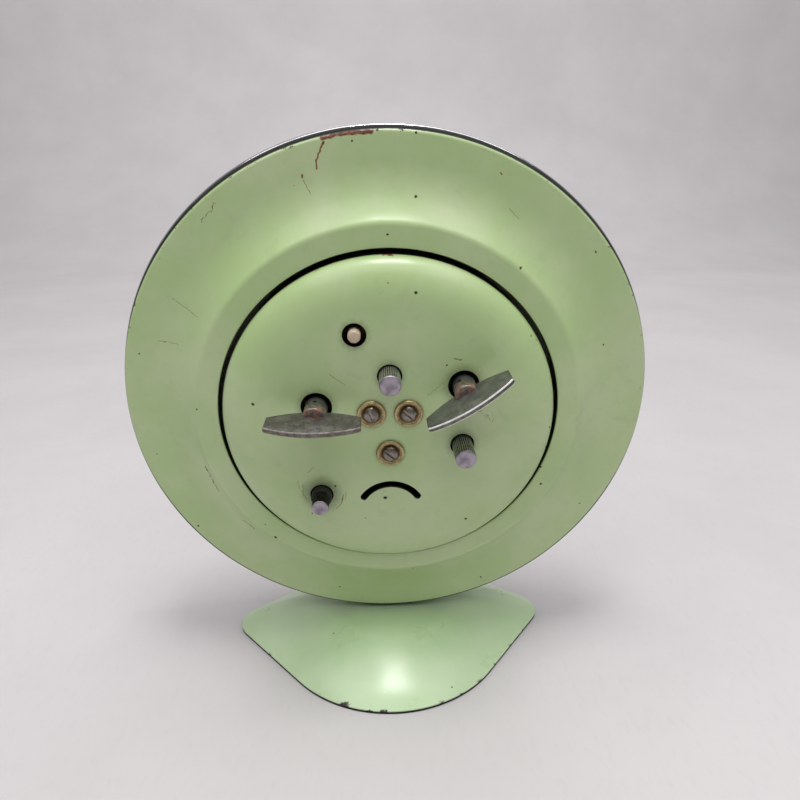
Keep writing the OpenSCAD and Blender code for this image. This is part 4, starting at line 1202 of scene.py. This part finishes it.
# Every CAD node starts with its slot's finish, except the brass seen through the back's holes, which gets brass
# darkened almost to black as painted shade, with some tarnish; the visible ones are replaced below
for part in record["subparts"]:
    node_mesh = frame["nodes"][part["node"]].data
    node_mesh.materials.clear()
    # dull picks the nodes that get the painted-shade brass.
    dull = part["node"] in seen_through_holes
    node_mesh.materials.append(shaded_brass if dull else slot_finishes[part["material_slot"]])

build_case()
build_bezel()
build_glass()
build_bell()
build_washers()
build_screws()
build_foot()
build_key("time", time_at, "time_winder")
build_key("alarm", alarm_at, "alarm_winder")
build_knob("hand_set", hand_set_at, "hand_setter", bell_face - 1.5, bell_face + 6.5, 2.85, 30)
build_knob("alarm_set", alarm_set_at, "alarm_setter", bell_face - 1.5, bell_face + 8.3, 2.8, 30)
build_knob("selector", selector_at, "selector", bell_face + 3.2, bell_face + 6.6, 2.35, 26,
           [(bell_face - 0.3, bell_face + 1.8, 2.9), (bell_face + 1.7, bell_face + 3.3, 1.9)])
build_stop()
build_dial()
build_hands()


# ---- floor and light -----------------------------------------------------------------------------

def build_floor():
    """A sheet of paper, in metres, that curves up far behind the dial's side."""
    near, far, rise, bend, half_width = 1.6, -0.9, 2.4, 0.5, 2.6
    section = [(near, 0)] + arc((far, bend), bend, 270, 180, 24) + [(far - bend, rise)]
    bm = bmesh.new()
    rows = [[bm.verts.new((x, y, z)) for y, z in section] for x in (-half_width, half_width)]
    for i in range(len(section) - 1):
        bm.faces.new((rows[0][i], rows[1][i], rows[1][i + 1], rows[0][i + 1]))
    mesh = mesh_of("paper_floor", bm)
    mesh.materials.append(floor_sheet())
    mesh.shade_smooth()
    add_object("paper_floor", mesh)


def area_light(name, place, target, size, power, colour=(1, 1, 1)):
    data = bpy.data.lights.new(name, "AREA")
    data.shape = "RECTANGLE"
    data.size, data.size_y = size
    data.energy = power
    data.color = colour
    light = add_object(name, data)
    light.location = place
    light.rotation_euler = (Vector(target) - Vector(place)).to_track_quat("-Z", "Y").to_euler()


build_floor()
# Places, targets and sizes in metres, powers in watts
area_light("ceiling", (0.0, 0.26, 1.15), (0, 0, 0.05), (1.8, 1.4), 12.2, (1, 0.985, 0.97))
area_light("panel", (-0.02, 0.09, 0.75), (0, 0, 0.08), (0.20, 0.18), 1.9)
area_light("far_fill", (0, -0.7, 1.4), (0, -1.6, 1.0), (2.2, 0.8), 11, (0.99, 0.99, 1))
area_light("front_fill", (-0.3, -1.0, 0.8), (0, 0, 0.08), (1.2, 0.9), 1.0)

world = bpy.data.worlds.new("soft_room")
world.use_nodes = True
background = world.node_tree.nodes["Background"].inputs
background["Color"].default_value = (0.93, 0.95, 1, 1)
background["Strength"].default_value = 0.25
bpy.context.scene.world = world
bpy.context.scene.view_settings.view_transform = "Standard"
